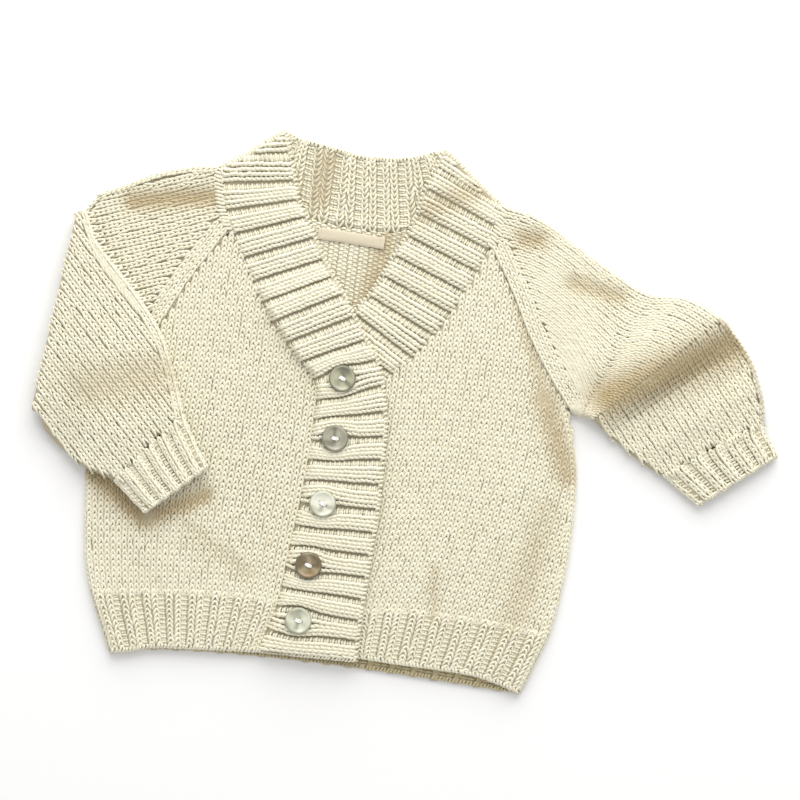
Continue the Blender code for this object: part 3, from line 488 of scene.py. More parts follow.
# Straight knitting on an arm: the way its columns run, the columns and rows it may have, how long its
# stitches are for their width, and how far it stays from the edge that has columns of its own
StraightKnit = namedtuple("StraightKnit", "angle wales courses square margin")
OVER_ARM = StraightKnit(math.radians(-46.0), (-34, 10), (-12, 66), RIGHT_SQUARE, 5.0)
LOWER_ARM = StraightKnit(math.radians(-50.0), (-24, 24), (-14, 44), LEFT_SQUARE, 2.2)


def smoothstep(low, high, value):
    share = np.clip((np.asarray(value, float) - low) / (high - low), 0.0, 1.0)
    return share * share * (3 - 2 * share)


def smooth(table, at):
    """A table read as one smooth curve: its other columns where its first column has the values in at."""
    rows = np.array(table, float)
    keys, values = rows[:, 0], rows[:, 1:]
    slopes = np.gradient(values, keys, axis=0)
    at = np.asarray(at, float)
    i = np.clip(np.searchsorted(keys, at, side="right") - 1, 0, len(keys) - 2)
    step = (keys[i + 1] - keys[i])[..., None]
    t = (at - keys[i])[..., None] / step
    start = (1 + 2 * t) * (1 - t) ** 2 * values[i] + t * (1 - t) ** 2 * step * slopes[i]
    end = t * t * (3 - 2 * t) * values[i + 1] + t * t * (t - 1) * step * slopes[i + 1]
    return start + end


def along(points, shares, curved=True):
    """Points at these shares of the length of a line, curved or straight between its points."""
    points = np.array(points, float)
    lengths = np.linalg.norm(np.diff(points, axis=0), axis=1)
    keys = np.concatenate([[0.0], np.cumsum(lengths)]) / lengths.sum()
    shares = np.asarray(shares, float)
    if curved and len(points) > 2:
        return smooth(np.column_stack([keys, points]), shares)
    return np.stack([np.interp(shares, keys, points[:, axis]) for axis in range(points.shape[1])], axis=-1)


def direction(line, shares, step, curved=True):
    """The way that a line runs at these shares of its length, from a step before to a step after."""
    after = along(line, np.clip(shares + step, 0, 1), curved)
    return unit(after - along(line, np.clip(shares - step, 0, 1), curved))


def at_height(plan, heights):
    """Points in space from points in plan."""
    return np.concatenate([plan, heights[..., None]], axis=-1)


def length_of(points):
    return float(np.linalg.norm(np.diff(np.array(points, float), axis=0), axis=1).sum())


def unit(vectors):
    return vectors / np.maximum(np.linalg.norm(vectors, axis=-1, keepdims=True), 1e-9)


def coons(low, high, left, right, across, up):
    """Plan points inside four edges, at these shares across and up. Low and high run from left to right."""
    a, b = across[..., None], up[..., None]
    low, high = np.array(low, float), np.array(high, float)
    between_sides = (1 - a) * along(left, up) + a * along(right, up)
    between_ends = (1 - b) * along(low, across) + b * along(high, across)
    corners = (1 - b) * ((1 - a) * low[0] + a * low[-1]) + b * ((1 - a) * high[0] + a * high[-1])
    return between_sides + between_ends - corners


def rib_wave(rib):
    """1 on a raised rib and 0 between two."""
    wave = 0.5 - 0.5 * np.cos(2 * np.pi * np.asarray(rib, float))
    return smoothstep(0.12, 0.85, wave)


def steep_wave(rib):
    """As rib_wave, but rising steeply after each groove and falling gently to the next."""
    part = np.asarray(rib, float) % 1.0
    return smoothstep(0.0, 0.2, part) * (1 - 0.8 * smoothstep(0.64, 0.98, part))


def rib_place(wale, squeeze):
    """Where a column of stitches lies in ribs. Squeeze gives the raised columns more room than the sunk."""
    turn = np.asarray(wale, float) / WALES_A_RIB
    return turn - squeeze * np.sin(2 * np.pi * turn)


def band_place(wale):
    """Where a column lies in the ribs of a front band: the first of each four is lost in the groove."""
    turn = np.asarray(wale, float) / WALES_A_RIB
    whole = np.floor(turn)
    return whole + np.interp(turn - whole, (0.0, 0.25, 0.5, 0.75, 1.0), BAND_COLUMNS)


def is_raised(wale):
    """The two middle columns of each rib are knitted, and the outer ones purled."""
    return np.isin(np.asarray(wale) % WALES_A_RIB, (1, 2))


def fold_height(x, y):
    """How far the soft folds lift the fronts at a place."""
    height = np.zeros(np.shape(x))
    for fold in FRONT_FOLDS:
        run = np.array([fold.x2 - fold.x1, fold.y2 - fold.y1])
        length = np.linalg.norm(run)
        run = run / length
        forward = (x - fold.x1) * run[0] + (y - fold.y1) * run[1]
        aside = (y - fold.y1) * run[0] - (x - fold.x1) * run[1]
        ends = smoothstep(-0.15, 0.25, forward / length) * smoothstep(1.15, 0.75, forward / length)
        height = height + fold.height * ends * np.exp(-((aside / fold.width) ** 2))
    return height


def in_hollows(cloth_name, points):
    """How far these points of a cloth sink in its hollows, and how much painted shade their yarn gets there.
    """
    depth, shade = np.zeros(points.shape[:-1]), np.zeros(points.shape[:-1])
    for hollow in HOLLOWS.get(cloth_name, []):
        away = off_line(points[..., :2], [(hollow.x1, hollow.y1), (hollow.x2, hollow.y2)])
        near = np.exp(-((away / hollow.width) ** 2))
        depth = depth + hollow.depth * near
        shade = np.maximum(shade, hollow.shade * near)
    return depth, shade


def seam_of(band, rows):
    """Plan points along the seam edge of a band."""
    return smooth(band, rows)[..., 2:4]


def off_line(points, line):
    """Distance of plan points from a line of straight pieces."""
    line = np.array(line, float)
    a, b = line[:-1], line[1:]
    run = b - a
    away = points[..., None, :] - a
    share = np.clip((away * run).sum(-1) / (run * run).sum(-1), 0, 1)
    return np.linalg.norm(away - share[..., None] * run, axis=-1).min(-1)


def inside(points, outline):
    """Whether plan points lie inside a closed outline."""
    outline = np.array(outline, float)
    x, y = points[..., 0, None], points[..., 1, None]
    x1, y1 = outline[:, 0], outline[:, 1]
    x2, y2 = np.roll(x1, -1), np.roll(y1, -1)
    crosses = (y1 > y) != (y2 > y)
    with np.errstate(divide="ignore", invalid="ignore"):
        at = x1 + (y - y1) * (x2 - x1) / (y2 - y1)
    return (crosses & (x < at)).sum(-1) % 2 == 1


def grid(wales, courses):
    """The column and the row of each stitch in these ranges of columns and rows."""
    u, v = np.meshgrid(np.arange(*wales), np.arange(*courses))
    return u.ravel(), v.ravel()


LOOK_FROM = 60.0


class Cover:
    """Looks down on some of the solids: how high their uppermost face is at a place, or -1 beside them."""

    def __init__(self, nodes):
        points, faces = [], []
        for node in nodes:
            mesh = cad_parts[node].data
            first = len(points)
            points += [vertex.co / MM - Vector(SHIFT) for vertex in mesh.vertices]
            faces += [[first + i for i in polygon.vertices] for polygon in mesh.polygons]
        self.tree = BVHTree.FromPolygons(points, faces)

    def top(self, plan):
        flat = np.asarray(plan, float).reshape(-1, 2)
        down = Vector((0, 0, -1))
        found = [self.tree.ray_cast(Vector((x, y, LOOK_FROM)), down)[0] for x, y in flat]
        heights = np.array([-1.0 if place is None else place.z for place in found])
        return heights.reshape(np.shape(plan)[:-1])

    def around(self, plan, reach):
        """The heights at this distance from each place, in four directions."""
        steps = reach * np.array([(1, 0), (-1, 0), (0, 1), (0, -1)])
        return self.top(plan + steps[:, None])


ALL_NODES = Cover(list(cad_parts))
LOOK_ROUND = 4.5
HIDDEN_BY = 1.6


def shows(points):
    """Whether each point can be seen from above, with a margin for what peeps out at an edge."""
    plan, height = points[:, :2], points[:, 2]
    above = ALL_NODES.top(plan) - height < HIDDEN_BY
    return above | (ALL_NODES.around(plan, LOOK_ROUND) - height < HIDDEN_BY).any(axis=0)


# ---------------------------------------------------------------- meshes of yarn

UPWARDS = np.array([0.0, 0.0, 1.0])
# The least height of a yarn above the floor, and how much painted shade darkens its lower side and its ends
FLOOR_GAP = 0.05
SUNK_PAINTED_SHADE = 0.36


class Strands:
    """Yarns collected for one mesh. Each is a closed spindle along a short line."""

    def __init__(self, cloth_name="", sides=4):
        self.cloth_name = cloth_name
        self.sides = sides
        self.parts = []

    def add(self, points, normals, radius, tone, deep=0.0, tall=0.85):
        """Points and normals are (strands, points, 3), radius is (points) or (strands, points), tone is one
        number for each strand. Deep is painted shade that darkens them all, and tall squashes them towards
        the cloth."""
        count, steps = points.shape[:2]
        if count == 0:
            return
        radius = np.broadcast_to(radius, (count, steps))
        run = unit(np.gradient(points, axis=1))
        aside = unit(np.cross(run, normals))
        up = unit(np.cross(aside, run))
        turn = 2 * np.pi * np.arange(self.sides) / self.sides
        ring = aside[:, 1:-1, None] * np.sin(turn)[:, None] - tall * up[:, 1:-1, None] * np.cos(turn)[:, None]
        ring = points[:, 1:-1, None] + ring * radius[:, 1:-1, None, None]
        rings = steps - 2
        body = ring.reshape(count, rings * self.sides, 3)
        places = np.concatenate([points[:, :1], body, points[:, -1:]], axis=1)
        lengths = np.linalg.norm(np.diff(points, axis=1), axis=2)
        lengths = np.concatenate([np.zeros((count, 1)), np.cumsum(lengths, axis=1)], axis=1)
        travel = np.repeat(lengths[:, 1:-1], self.sides, axis=1)
        travel = np.concatenate([lengths[:, :1], travel, lengths[:, -1:]], axis=1)
        around = np.tile(turn / (2 * np.pi), rings)
        around = np.concatenate([[0.5], around, [0.5]])
        # Painted shade: each yarn darkens on its lower side and towards its thin ends, where shade would
        # fall, plus the painted shade given as deep.
        low = np.tile(0.5 + 0.5 * np.cos(turn), rings)
        ends = np.repeat(1 - smoothstep(0.0, 0.95, radius[:, 1:-1] / radius.max()), self.sides, axis=1)
        deep = np.broadcast_to(deep, count)[:, None]
        sunk = np.clip(SUNK_PAINTED_SHADE * np.minimum(0.5 * low + ends, 1) + deep, 0, 1)
        tips = np.clip(SUNK_PAINTED_SHADE + deep, 0, 1)
        sunk = np.concatenate([tips, sunk, tips], axis=1)
        self.parts.append((places, travel, around, sunk, np.asarray(tone, float)))

    def faces(self, rings):
        """Corner lists of one spindle and the places of its corners on a flat map."""
        sides = self.sides
        last = 1 + rings * sides
        corners, flat = [], []
        for k in range(sides):
            after = (k + 1) % sides
            left, right = k / sides, (k + 1) / sides
            heights = np.linspace(0, 1, rings + 2)
            corners.append((0, 1 + after, 1 + k))
            flat += [((left + right) / 2, 0.0), (right, heights[1]), (left, heights[1])]
            for ring in range(rings - 1):
                first = 1 + ring * sides
                corners.append((first + k, first + after, first + sides + after, first + sides + k))
                flat += [
                    (left, heights[ring + 1]),
                    (right, heights[ring + 1]),
                    (right, heights[ring + 2]),
                    (left, heights[ring + 2]),
                ]
            first = 1 + (rings - 1) * sides
            corners.append((first + k, first + after, last))
            flat += [(left, heights[-2]), (right, heights[-2]), ((left + right) / 2, 1.0)]
        return corners, np.array(flat)

    def mesh(self, name):
        total = sum(part[0].shape[0] for part in self.parts)
        cells = math.ceil(math.sqrt(total))
        places, travel, around, sunk, tones, loops, starts, maps = [], [], [], [], [], [], [], []
        first_vertex = first_loop = first_strand = 0
        for points, lengths, turn, low, tone in self.parts:
            count, size = points.shape[:2]
            corners, flat = self.faces((size - 2) // self.sides)
            sizes = np.array([len(face) for face in corners])
            loop = np.concatenate([np.array(face) for face in corners])
            offsets = first_vertex + size * np.arange(count)
            loops.append((offsets[:, None] + loop).ravel())
            start = np.concatenate([[0], np.cumsum(sizes)[:-1]])
            starts.append((first_loop + len(loop) * np.arange(count)[:, None] + start).ravel())
            cell = first_strand + np.arange(count)
            corner = np.stack([cell % cells, cell // cells], axis=-1)[:, None, :]
            maps.append(((corner + 0.06 + 0.88 * flat) / cells).reshape(-1, 2))
            places.append(points.reshape(-1, 3))
            travel.append(lengths.ravel())
            around.append(np.tile(turn, count))
            sunk.append(low.ravel())
            tones.append(np.repeat(tone, size))
            first_vertex += size * count
            first_loop += len(loop) * count
            first_strand += count
        places = np.concatenate(places)
        places[:, 2] = np.maximum(places[:, 2], FLOOR_GAP)
        places = (places + SHIFT) * MM
        loops, starts = np.concatenate(loops), np.concatenate(starts)
        mesh = bpy.data.meshes.new(name)
        mesh.vertices.add(len(places))
        mesh.vertices.foreach_set("co", places.astype(np.float32).ravel())
        mesh.loops.add(len(loops))
        mesh.loops.foreach_set("vertex_index", loops.astype(np.int32))
        mesh.polygons.add(len(starts))
        mesh.polygons.foreach_set("loop_start", starts.astype(np.int32))
        mesh.update(calc_edges=True)
        mesh.shade_smooth()
        # The sunk attribute carries each yarn's painted shade to its material.
        for label, values in (("tone", tones), ("sunk", sunk)):
            attribute = mesh.attributes.new(label, "FLOAT", "POINT")
            attribute.data.foreach_set("value", np.concatenate(values).astype(np.float32))
        ply = np.column_stack([np.concatenate(around), np.concatenate(travel), np.zeros(len(places))])
        attribute = mesh.attributes.new("ply", "FLOAT_VECTOR", "POINT")
        attribute.data.foreach_set("vector", ply.astype(np.float32).ravel())
        layer = mesh.uv_layers.new(name="OFBake")
        layer.data.foreach_set("uv", np.concatenate(maps).astype(np.float32).ravel())
        return mesh


def settings():
    return bpy.context.scene.cardigan


def yarn_radius():
    return settings().yarn_thickness / MM / 2


def patches_of_tone(points):
    """Slow changes of tone over the cloth, in a fixed wave pattern across the plan."""
    x, y = points[..., 0], points[..., 1]
    slow = np.sin(x / 23.0 + 1.3 * np.sin(y / 31.0)) * np.sin(y / 19.0 + 0.7 * np.sin(x / 37.0))
    return 0.5 + 0.12 * slow


def lay(
    strands, surface, wales, courses, stitch, rng, thick=1.0, lift=0.0, loose=1.0, facing=(0.0, 0.0, 1.0)
):
    """Lays one kind of stitch on a cloth's face. Wales and courses are arrays of stitch numbers, loose says
    how unevenly they lie, and facing is the way that the middle of the face looks."""
    wales, courses = np.asarray(wales, float), np.asarray(courses, float)
    count = len(wales)
    if count == 0:
        return
    wander = rng.normal(0, 0.04 * loose, (count, 2))
    swell = rng.normal(1, 0.05 * loose, count)
    height = rng.normal(0, 0.05, count)
    tone = rng.normal(0, 0.11, count)
    _, middle = place_and_normal(surface, wales[:, None] + 0.5, courses[:, None] + 0.5)
    sign = np.sign((middle * np.array(facing)).sum(-1).mean())
    turned = np.full((count, 1), -sign)
    if stitch is PURL:
        odd = wales % 2
        courses = courses + 0.5 * odd
        turned = (2 * odd - 1)[:, None]
    for points in stitch:
        across, run, depth, width = np.array(points).T
        u = wales[:, None] + 0.5 + turned * across * swell[:, None] + wander[:, :1]
        v = courses[:, None] + run + wander[:, 1:]
        place, normal = place_and_normal(surface, u, v)
        normal = normal * sign
        place = place + normal * (depth + lift + height[:, None])[..., None]
        # Hollows sink the yarn and darken it with painted shade.
        sinks, painted_hollow_shade = in_hollows(strands.cloth_name, place)
        place[..., 2] -= sinks
        shade = patches_of_tone(place[:, 2]) + tone + rng.normal(0, 0.03, count)
        radius = width * yarn_radius() * thick * swell[:, None]
        strands.add(place, normal, radius, shade, painted_hollow_shade[:, 2], tall=0.75)


def place_and_normal(surface, u, v):
    """Points of a face and the directions square to it, on the side where u turns left into v."""
    step = 0.12
    du = surface(u + step, v) - surface(u - step, v)
    dv = surface(u, v + step) - surface(u, v - step)
    return surface(u, v), unit(np.cross(du, dv))


def edge_loops(strands, edge, low, high, rng, inward, pitch=2.1, reach=2.6, thick=0.95):
    """Loops that bind a wall's edge, from its upper face over the edge to its lower face. Edge is a line in
    plan, low and high are the heights of the two faces along it, and inward is a sign: 1 if the cloth lies on
    the line's left."""
    edge = np.array(edge, float)
    count = max(2, round(length_of(edge) / pitch))
    shares = (np.arange(count) + 0.5) / count
    places = along(edge, shares)
    run = direction(edge, shares, 0.004)
    into = np.column_stack([-run[:, 1], run[:, 0]]) * inward
    faces = (np.atleast_1d(low), np.atleast_1d(high))
    heights = [np.interp(shares, np.linspace(0, 1, len(face)), face) for face in faces]
    middle, half = (heights[0] + heights[1]) / 2, (heights[1] - heights[0]) / 2
    angles = np.radians([118, 84, 50, 17, -17, -50, -84, -118])
    width = np.array([0.0, 0.9, 1.0, 1.0, 1.0, 1.0, 0.9, 0.0])
    rise = np.sign(np.sin(angles)) * np.abs(np.sin(angles)) ** 0.6
    outside = 0.35 + 0.2 * rng.random(count)
    back = np.where(np.abs(angles) > math.radians(60), reach * (np.abs(angles) / math.radians(118)) ** 2, 0.0)
    back = back[None] - outside[:, None] * np.cos(angles) ** 2 * (np.abs(angles) < 1.4)
    slant = pitch * 0.55 * np.sin(angles) * (1 + rng.normal(0, 0.2, count))[:, None]
    plan = places[:, None] + into[:, None] * back[..., None] + run[:, None] * slant[..., None]
    z = middle[:, None] + (half[:, None] + 0.1) * rise
    points = at_height(plan, z)
    out = -into[:, None] * np.cos(angles)[:, None]
    up = np.broadcast_to(np.sin(angles)[:, None], out.shape[:2] + (1,))
    normal = unit(np.concatenate([out, up], axis=-1))
    tone = patches_of_tone(points[:, 3]) + rng.normal(0, 0.08, count)
    strands.add(points, normal, width * yarn_radius() * thick, tone)


# ---------------------------------------------------------------- where each cloth's stitches lie


def wale_width():
    return settings().stitch_width / MM


def course_height():
    return settings().row_height / MM


def panel_outline(front):
    """The outline of a front, from the hem up its side and raglan and down the band."""
    rows = np.linspace(front.raglan_row, front.hem_row, 40)
    band = [tuple(place) for place in seam_of(front.band, rows)]
    return front.side + front.raglan[1:] + band + front.rib_top[::-1]


def front_face(front):
    """A front's outer face: u counts columns from the side, v counts rows down from the shoulder."""
    hem_line = front.rib_top + [tuple(seam_of(front.band, front.hem_row))]
    last = round((FRONT_TOP - HEM_LEVEL) / course_height())
    pitch = (FRONT_TOP - HEM_LEVEL) / last
    side = np.array(front.side)

    def face(u, v):
        share = np.clip(u / front.wales, -0.1, 1.3)
        level = along(hem_line, np.clip(share, 0, 1))[..., 1] - HEM_LEVEL
        arch = front.arch[0] * share + front.arch[1] * share**2
        near_hem = smoothstep(last - HEM_FADE, last, v)
        y = FRONT_TOP - pitch * v + level * near_hem + arch * (1 - near_hem)
        edges = smooth(front.edges, y)
        x = edges[..., 0] + (edges[..., 1] - edges[..., 0]) * share
        from_side = np.abs(x - np.interp(y, side[:, 1], side[:, 0]))
        below = smoothstep(8.0, -8.0, y - side[-1, 1])
        drop = EDGE_DROP * smoothstep(ROLL_INSET + 1.0, 0.0, from_side) * below
        z = FRONT_Z + WALL + fold_height(x, y) - drop
        return np.stack([x, y, z], axis=-1)

    return face, last


def front_stitches(front, rng):
    strands = Strands(f"{front.name}_front")
    face, rows = front_face(front)
    u, v = grid((0, front.wales + CUT_WALES), (0, rows + 1))
    middle = face(u + 0.5, np.minimum(v, rows - 1) + 0.5)
    plan = middle[:, :2]
    keep = inside(plan, panel_outline(front))
    keep &= off_line(plan, front.side[:-1]) > ROLL_INSET - ROLL_LAP
    keep[keep] = shows(middle[keep])
    lay(strands, face, u[keep], v[keep], KNIT, rng)
    return strands


# The section of a front's side, from its upper face round to its lower one: distance in from the side and
# height above the floor
ROLL = [(3.75, 5.15), (2.4, 5.1), (1.2, 4.75), (0.4, 4.1), (0.0, 2.9), (0.1, 1.7), (0.7, 0.8), (2.0, 0.4)]
ROLL_WALES = 2.5


def side_roll(front, rng, strands):
    """Columns of stitches that turn round the side, where the front runs into the back."""
    line = np.array(front.hem_side + front.side[1:])
    rows = round(length_of(line) / course_height())

    def face(u, v):
        share = np.clip(1 - v / rows, 0, 1)
        place = along(line, share)
        run = direction(line, share, 0.01)
        into = np.stack([run[..., 1], -run[..., 0]], axis=-1) * -front.outward
        section = along(ROLL, np.clip(u / ROLL_WALES, 0, 1), curved=False)
        return np.concatenate([place + into * section[..., :1], section[..., 1:]], axis=-1)

    u, v = grid((0, math.ceil(ROLL_WALES)), (0, rows))
    lay(strands, face, u, v, KNIT, rng, facing=(front.outward, 0.0, 0.0))


def front_hem_face(front):
    """A front's ribbed hem: u counts columns from the side, v counts rows down to the bottom edge."""
    columns = HEM_RIBS * WALES_A_RIB
    rows = np.linspace(front.band[0].row, front.hem_row, 6)
    seam = seam_of(front.band, rows)
    rib_top = front.rib_top + [tuple(seam[-1])]
    bottom = front.hem + [tuple(seam[0])]

    def face(u, v):
        rib = rib_place(u, HEM_SQUEEZE)
        across = np.clip(rib / HEM_RIBS, -0.02, 1.02)
        up = 1 - v / HEM_COURSES
        plan = coons(bottom, rib_top, front.hem_side, seam, across, up)
        fade = smoothstep(-0.05, 0.12, up) * (1 - 0.5 * smoothstep(0.85, 1.0, up))
        side = smoothstep(0.0, 0.035, across)
        z = FRONT_Z + RIB_WALL + RIB_RAISE * rib_wave(rib) * fade * side - 0.9 * (1 - side)
        return at_height(plan, z)

    return face, columns


def ribbed(strands, face, columns, rows, rng, shift=0, knit=KNIT):
    """Knitted and purled columns over a ribbed face. Shift turns the face to its other side, where what was
    knitted is purled."""
    u, v = grid(columns, rows)
    seen = shows(face(u + 0.5, v + 0.5))
    u, v = u[seen], v[seen]
    raised = is_raised(u + shift)
    lay(strands, face, u[raised], v[raised], knit, rng)
    lay(strands, face, u[~raised], v[~raised], RIB_PURL, rng)


def front_hem_stitches(front, rng):
    strands = Strands(f"{front.name}_front")
    face, columns = front_hem_face(front)
    ribbed(strands, face, (0, columns), (0, HEM_COURSES), rng)
    bottom = front.hem + [tuple(seam_of(front.band, front.band[0].row))]
    edge_loops(strands, bottom, FRONT_Z, FRONT_Z + RIB_WALL + 0.5, rng, inward=-front.outward)
    return strands


def row_at(band, rib, share):
    """The row of a band where it has counted this many ribs, at this share of its width."""
    row = np.array(rib, float)
    for _ in range(8):
        values = smooth(band, row)
        counted = (1 - share) * values[..., 0] + share * values[..., 1]
        row = row + 0.6 * (rib - counted)
    return row


def round_buttons(plan):
    """Ribs part round each button."""
    moved = plan.copy()
    for x, y in BUTTONS:
        dx, dy = plan[..., 0] - x, plan[..., 1] - y
        push = 3.6 * np.tanh(dy / 3.0) * np.exp(-((dy / 11.0) ** 2)) * np.exp(-(((dx + 1.0) / 11.0) ** 2))
        moved[..., 1] += push
    return moved


def across_band(values, share):
    """Plan points this share of the way from a band's seam to its free edge, or a little past either."""
    held = np.clip(share, -0.03, 1.03)[..., None]
    return (1 - held) * values[..., 2:4] + held * values[..., 4:6]


def band_face(band, overlap, sag, parted, cover):
    """A front band: u counts columns up from the hem, v counts rows from the seam to the free edge. Where it
    turns over the shoulder, the cover gives its height."""
    last, turn_from = band[-1].row, band[-2].row

    def face(u, v):
        rib = band_place(u)
        share = v / BAND_COURSES
        row = row_at(band, rib, np.clip(share, 0, 1))
        plan = across_band(smooth(band, row), share)
        turning = smoothstep(turn_from - 0.4, last, row)
        plan[..., 1] -= sag * turning * np.sin(np.pi * np.clip(share, 0, 1))
        if parted:
            plan = round_buttons(plan)
        lifted = overlap * smoothstep(0.0, RISE_SHARE, share) * (1 - smoothstep(*OVERLAP_ENDS, row))
        bottom = FRONT_Z + (OVERLAP_Z - FRONT_Z) * lifted
        edge = smoothstep(-0.02, 0.1, share) * smoothstep(1.03, 0.94, share)
        top = bottom + RIB_WALL - BAND_SUNK + (RIB_RAISE + BAND_SUNK) * steep_wave(rib) * edge
        turned = row > turn_from - TURNS_BY
        found = cover.top(plan[turned])
        top[turned] = np.where(found < 0, TURNED_EDGE, found - TURNED_SUNK)
        return at_height(plan, top)

    return face


def band_outline(band):
    rows = np.linspace(band[0].row, band[-1].row, 60)
    values = smooth(band, rows)
    return np.concatenate([values[:, 2:4], values[::-1, 4:6]])


def band_stitches(band, overlap, sag, parted, inward, rng):
    """Stitches of a front band. Inward is 1 if its free edge is to the right of its seam."""
    side = "right" if overlap else "left"
    strands = Strands(f"{side}_band")
    cover = Cover([f"{side}_front_band"])
    face = band_face(band, overlap, sag, parted, cover)
    outline = band_outline(band)
    first = math.floor(band[0].rib_seam * WALES_A_RIB)
    last = math.ceil(band[-1].rib_free * WALES_A_RIB)

    u, v = grid((first, last), (0, BAND_COURSES))
    middle = face(u + 0.5, v + 0.5)
    plan = middle[:, :2]
    seen = inside(plan, outline) & shows(middle)
    row = row_at(band, band_place(u + 0.5), (v + 0.5) / BAND_COURSES)
    held = (cover.top(plan) > 0) & (cover.around(plan, END_MARGIN) > 0).all(axis=0)
    seen &= held | (row < band[-2].row - TURNS_BY)
    raised = seen & is_raised(u)
    lay(strands, face, u[raised], v[raised], TIGHT_KNIT, rng, thick=1.3, loose=0.5)
    sunk = seen & (u % WALES_A_RIB == WALES_A_RIB - 1)
    lay(strands, face, u[sunk], v[sunk], RIB_PURL, rng, thick=1.05)
    rows = np.linspace(band[0].row, band[-2].row, 80)
    lifted = FRONT_Z + (OVERLAP_Z - FRONT_Z) * overlap * (1 - smoothstep(*OVERLAP_ENDS, rows))
    edge_loops(strands, smooth(band, rows)[:, 4:6], lifted, lifted + RIB_WALL + 0.4, rng, -inward, pitch=2.7)
    top = smooth(band, np.array([band[-1].row, band[-1].row]))[0]
    line = np.linspace(top[2:4], top[4:6], 12)
    height = np.maximum(cover.top(line + [0, -1.5]), TURNED_EDGE)
    edge_loops(strands, line, 0.4, height, rng, -inward, pitch=1.8, reach=4.2, thick=1.25)
    if not overlap:
        return strands
    rows = np.linspace(band[0].row, band[0].row + 0.15, 2)
    bottom = smooth(band, rows)[0]
    line = [tuple(bottom[2:4]), tuple(bottom[4:6])]
    low = np.array([FRONT_Z, OVERLAP_Z, OVERLAP_Z])
    edge_loops(strands, line, low, low + RIB_WALL + 0.4, rng, 1.0)
    return strands


def neck_face():
    """The band behind the neck, with its inner side up: v counts rows up from the seam."""

    def face(u, v):
        rib = rib_place(u, HEM_SQUEEZE)
        share = v / NECK_COURSES
        plan = across_band(smooth(NECK_BAND, rib), share)
        start, end = NECK_BEAD_ROWS
        bead = smoothstep(start, start + 0.4, rib) * smoothstep(end, end - 0.4, rib)
        near = np.exp(-(((share - 0.1) / 0.07) ** 2))
        edge = smoothstep(0.0, 0.12, share) * smoothstep(1.03, 0.94, share)
        ribs = NECK_RIB_RAISE * rib_wave(rib) * edge
        z = NECK_RIB_WALL + ribs * (1 - bead * near) + NECK_BEAD * bead * near
        return at_height(plan, z)

    return face


def neck_stitches(rng):
    strands = Strands("neck")
    face = neck_face()
    first = math.ceil(NECK_BAND[0].row * WALES_A_RIB)
    last = math.floor(NECK_BAND[-1].row * WALES_A_RIB)
    ribbed(strands, face, (first, last), (0, NECK_COURSES), rng)
    rows = np.linspace(NECK_BAND[0].row, NECK_BAND[-1].row, 30)
    values = smooth(NECK_BAND, rows)
    edge_loops(strands, values[:, 4:6], 0.2, NECK_RIB_WALL + 0.5, rng, inward=-1.0)
    return strands


def back_inside_stitches(rng):
    """The purled inner side of the back, where it shows in the neck's opening."""
    strands = Strands("back")

    def face(u, v):
        x = INSIDE_FROM[0] + INSIDE_SCALE * wale_width() * u
        y = INSIDE_FROM[1] - INSIDE_SCALE * course_height() * v
        return np.stack([x, y, np.full(x.shape, WALL)], axis=-1)

    u, v = grid(INSIDE_WALES, INSIDE_COURSES)
    middle = face(u + 0.5, v + 0.5)
    neck = seam_of(NECK_BAND, np.linspace(NECK_BAND[0].row, NECK_BAND[-1].row, 30))
    limit = np.interp(middle[:, 0], neck[:, 0], neck[:, 1])
    keep = middle[:, 1] < limit - 0.5
    keep[keep] = shows(middle[keep])
    lay(strands, face, u[keep], v[keep], PURL, rng, thick=INSIDE_SCALE)
    return strands


def back_hem_stitches(rng):
    """The back's hem, of which the bottom edge peeps out below the fronts."""
    strands = Strands()
    rib_top = RIGHT_FRONT.rib_top + LEFT_FRONT.rib_top[::-1]
    columns = BACK_HEM_RIBS * WALES_A_RIB

    def face(u, v):
        rib = rib_place(u, HEM_SQUEEZE)
        across = np.clip(rib / BACK_HEM_RIBS, -0.01, 1.01)
        up = 1 - v / BACK_HEM_COURSES
        plan = coons(BACK_HEM, rib_top, RIGHT_FRONT.hem_side, LEFT_FRONT.hem_side, across, up)
        z = WALL - BACK_HEM_RAISE + BACK_HEM_RAISE * rib_wave(rib)
        return at_height(plan, z)

    shown = (BACK_HEM_COURSES - BACK_HEM_SHOWN, BACK_HEM_COURSES)
    ribbed(strands, face, (0, columns), shown, rng, shift=WALES_A_RIB // 2)
    edge_loops(strands, BACK_HEM, 0.1, WALL, rng, inward=1.0)
    return strands


# ---------------------------------------------------------------- sleeves


def sleeve_start(front):
    """The two lines where a sleeve starts: down the end of the band, and up the raglan to meet it."""
    stand_off = np.array([math.copysign(STAND_OFF, front.side[0][0]), 0.0])
    neck = seam_of(front.band, np.linspace(front.band[-1].row, front.raglan_row, NECK_STEPS))
    raglan = front.raglan + [tuple(seam_of(front.band, front.raglan_row))]
    return neck + stand_off, np.array(raglan) + stand_off


def raglan_line(shares, neck, raglan):
    """Points down the start of a sleeve, from the shoulder to the underarm."""
    upper = along(neck, np.clip(shares / KNEE_SHARE, 0, 1), curved=False)
    lower = along(raglan[::-1], np.clip((shares - KNEE_SHARE) / (1 - KNEE_SHARE), 0, 1), curved=False)
    return np.where((shares < KNEE_SHARE)[..., None], upper, lower)


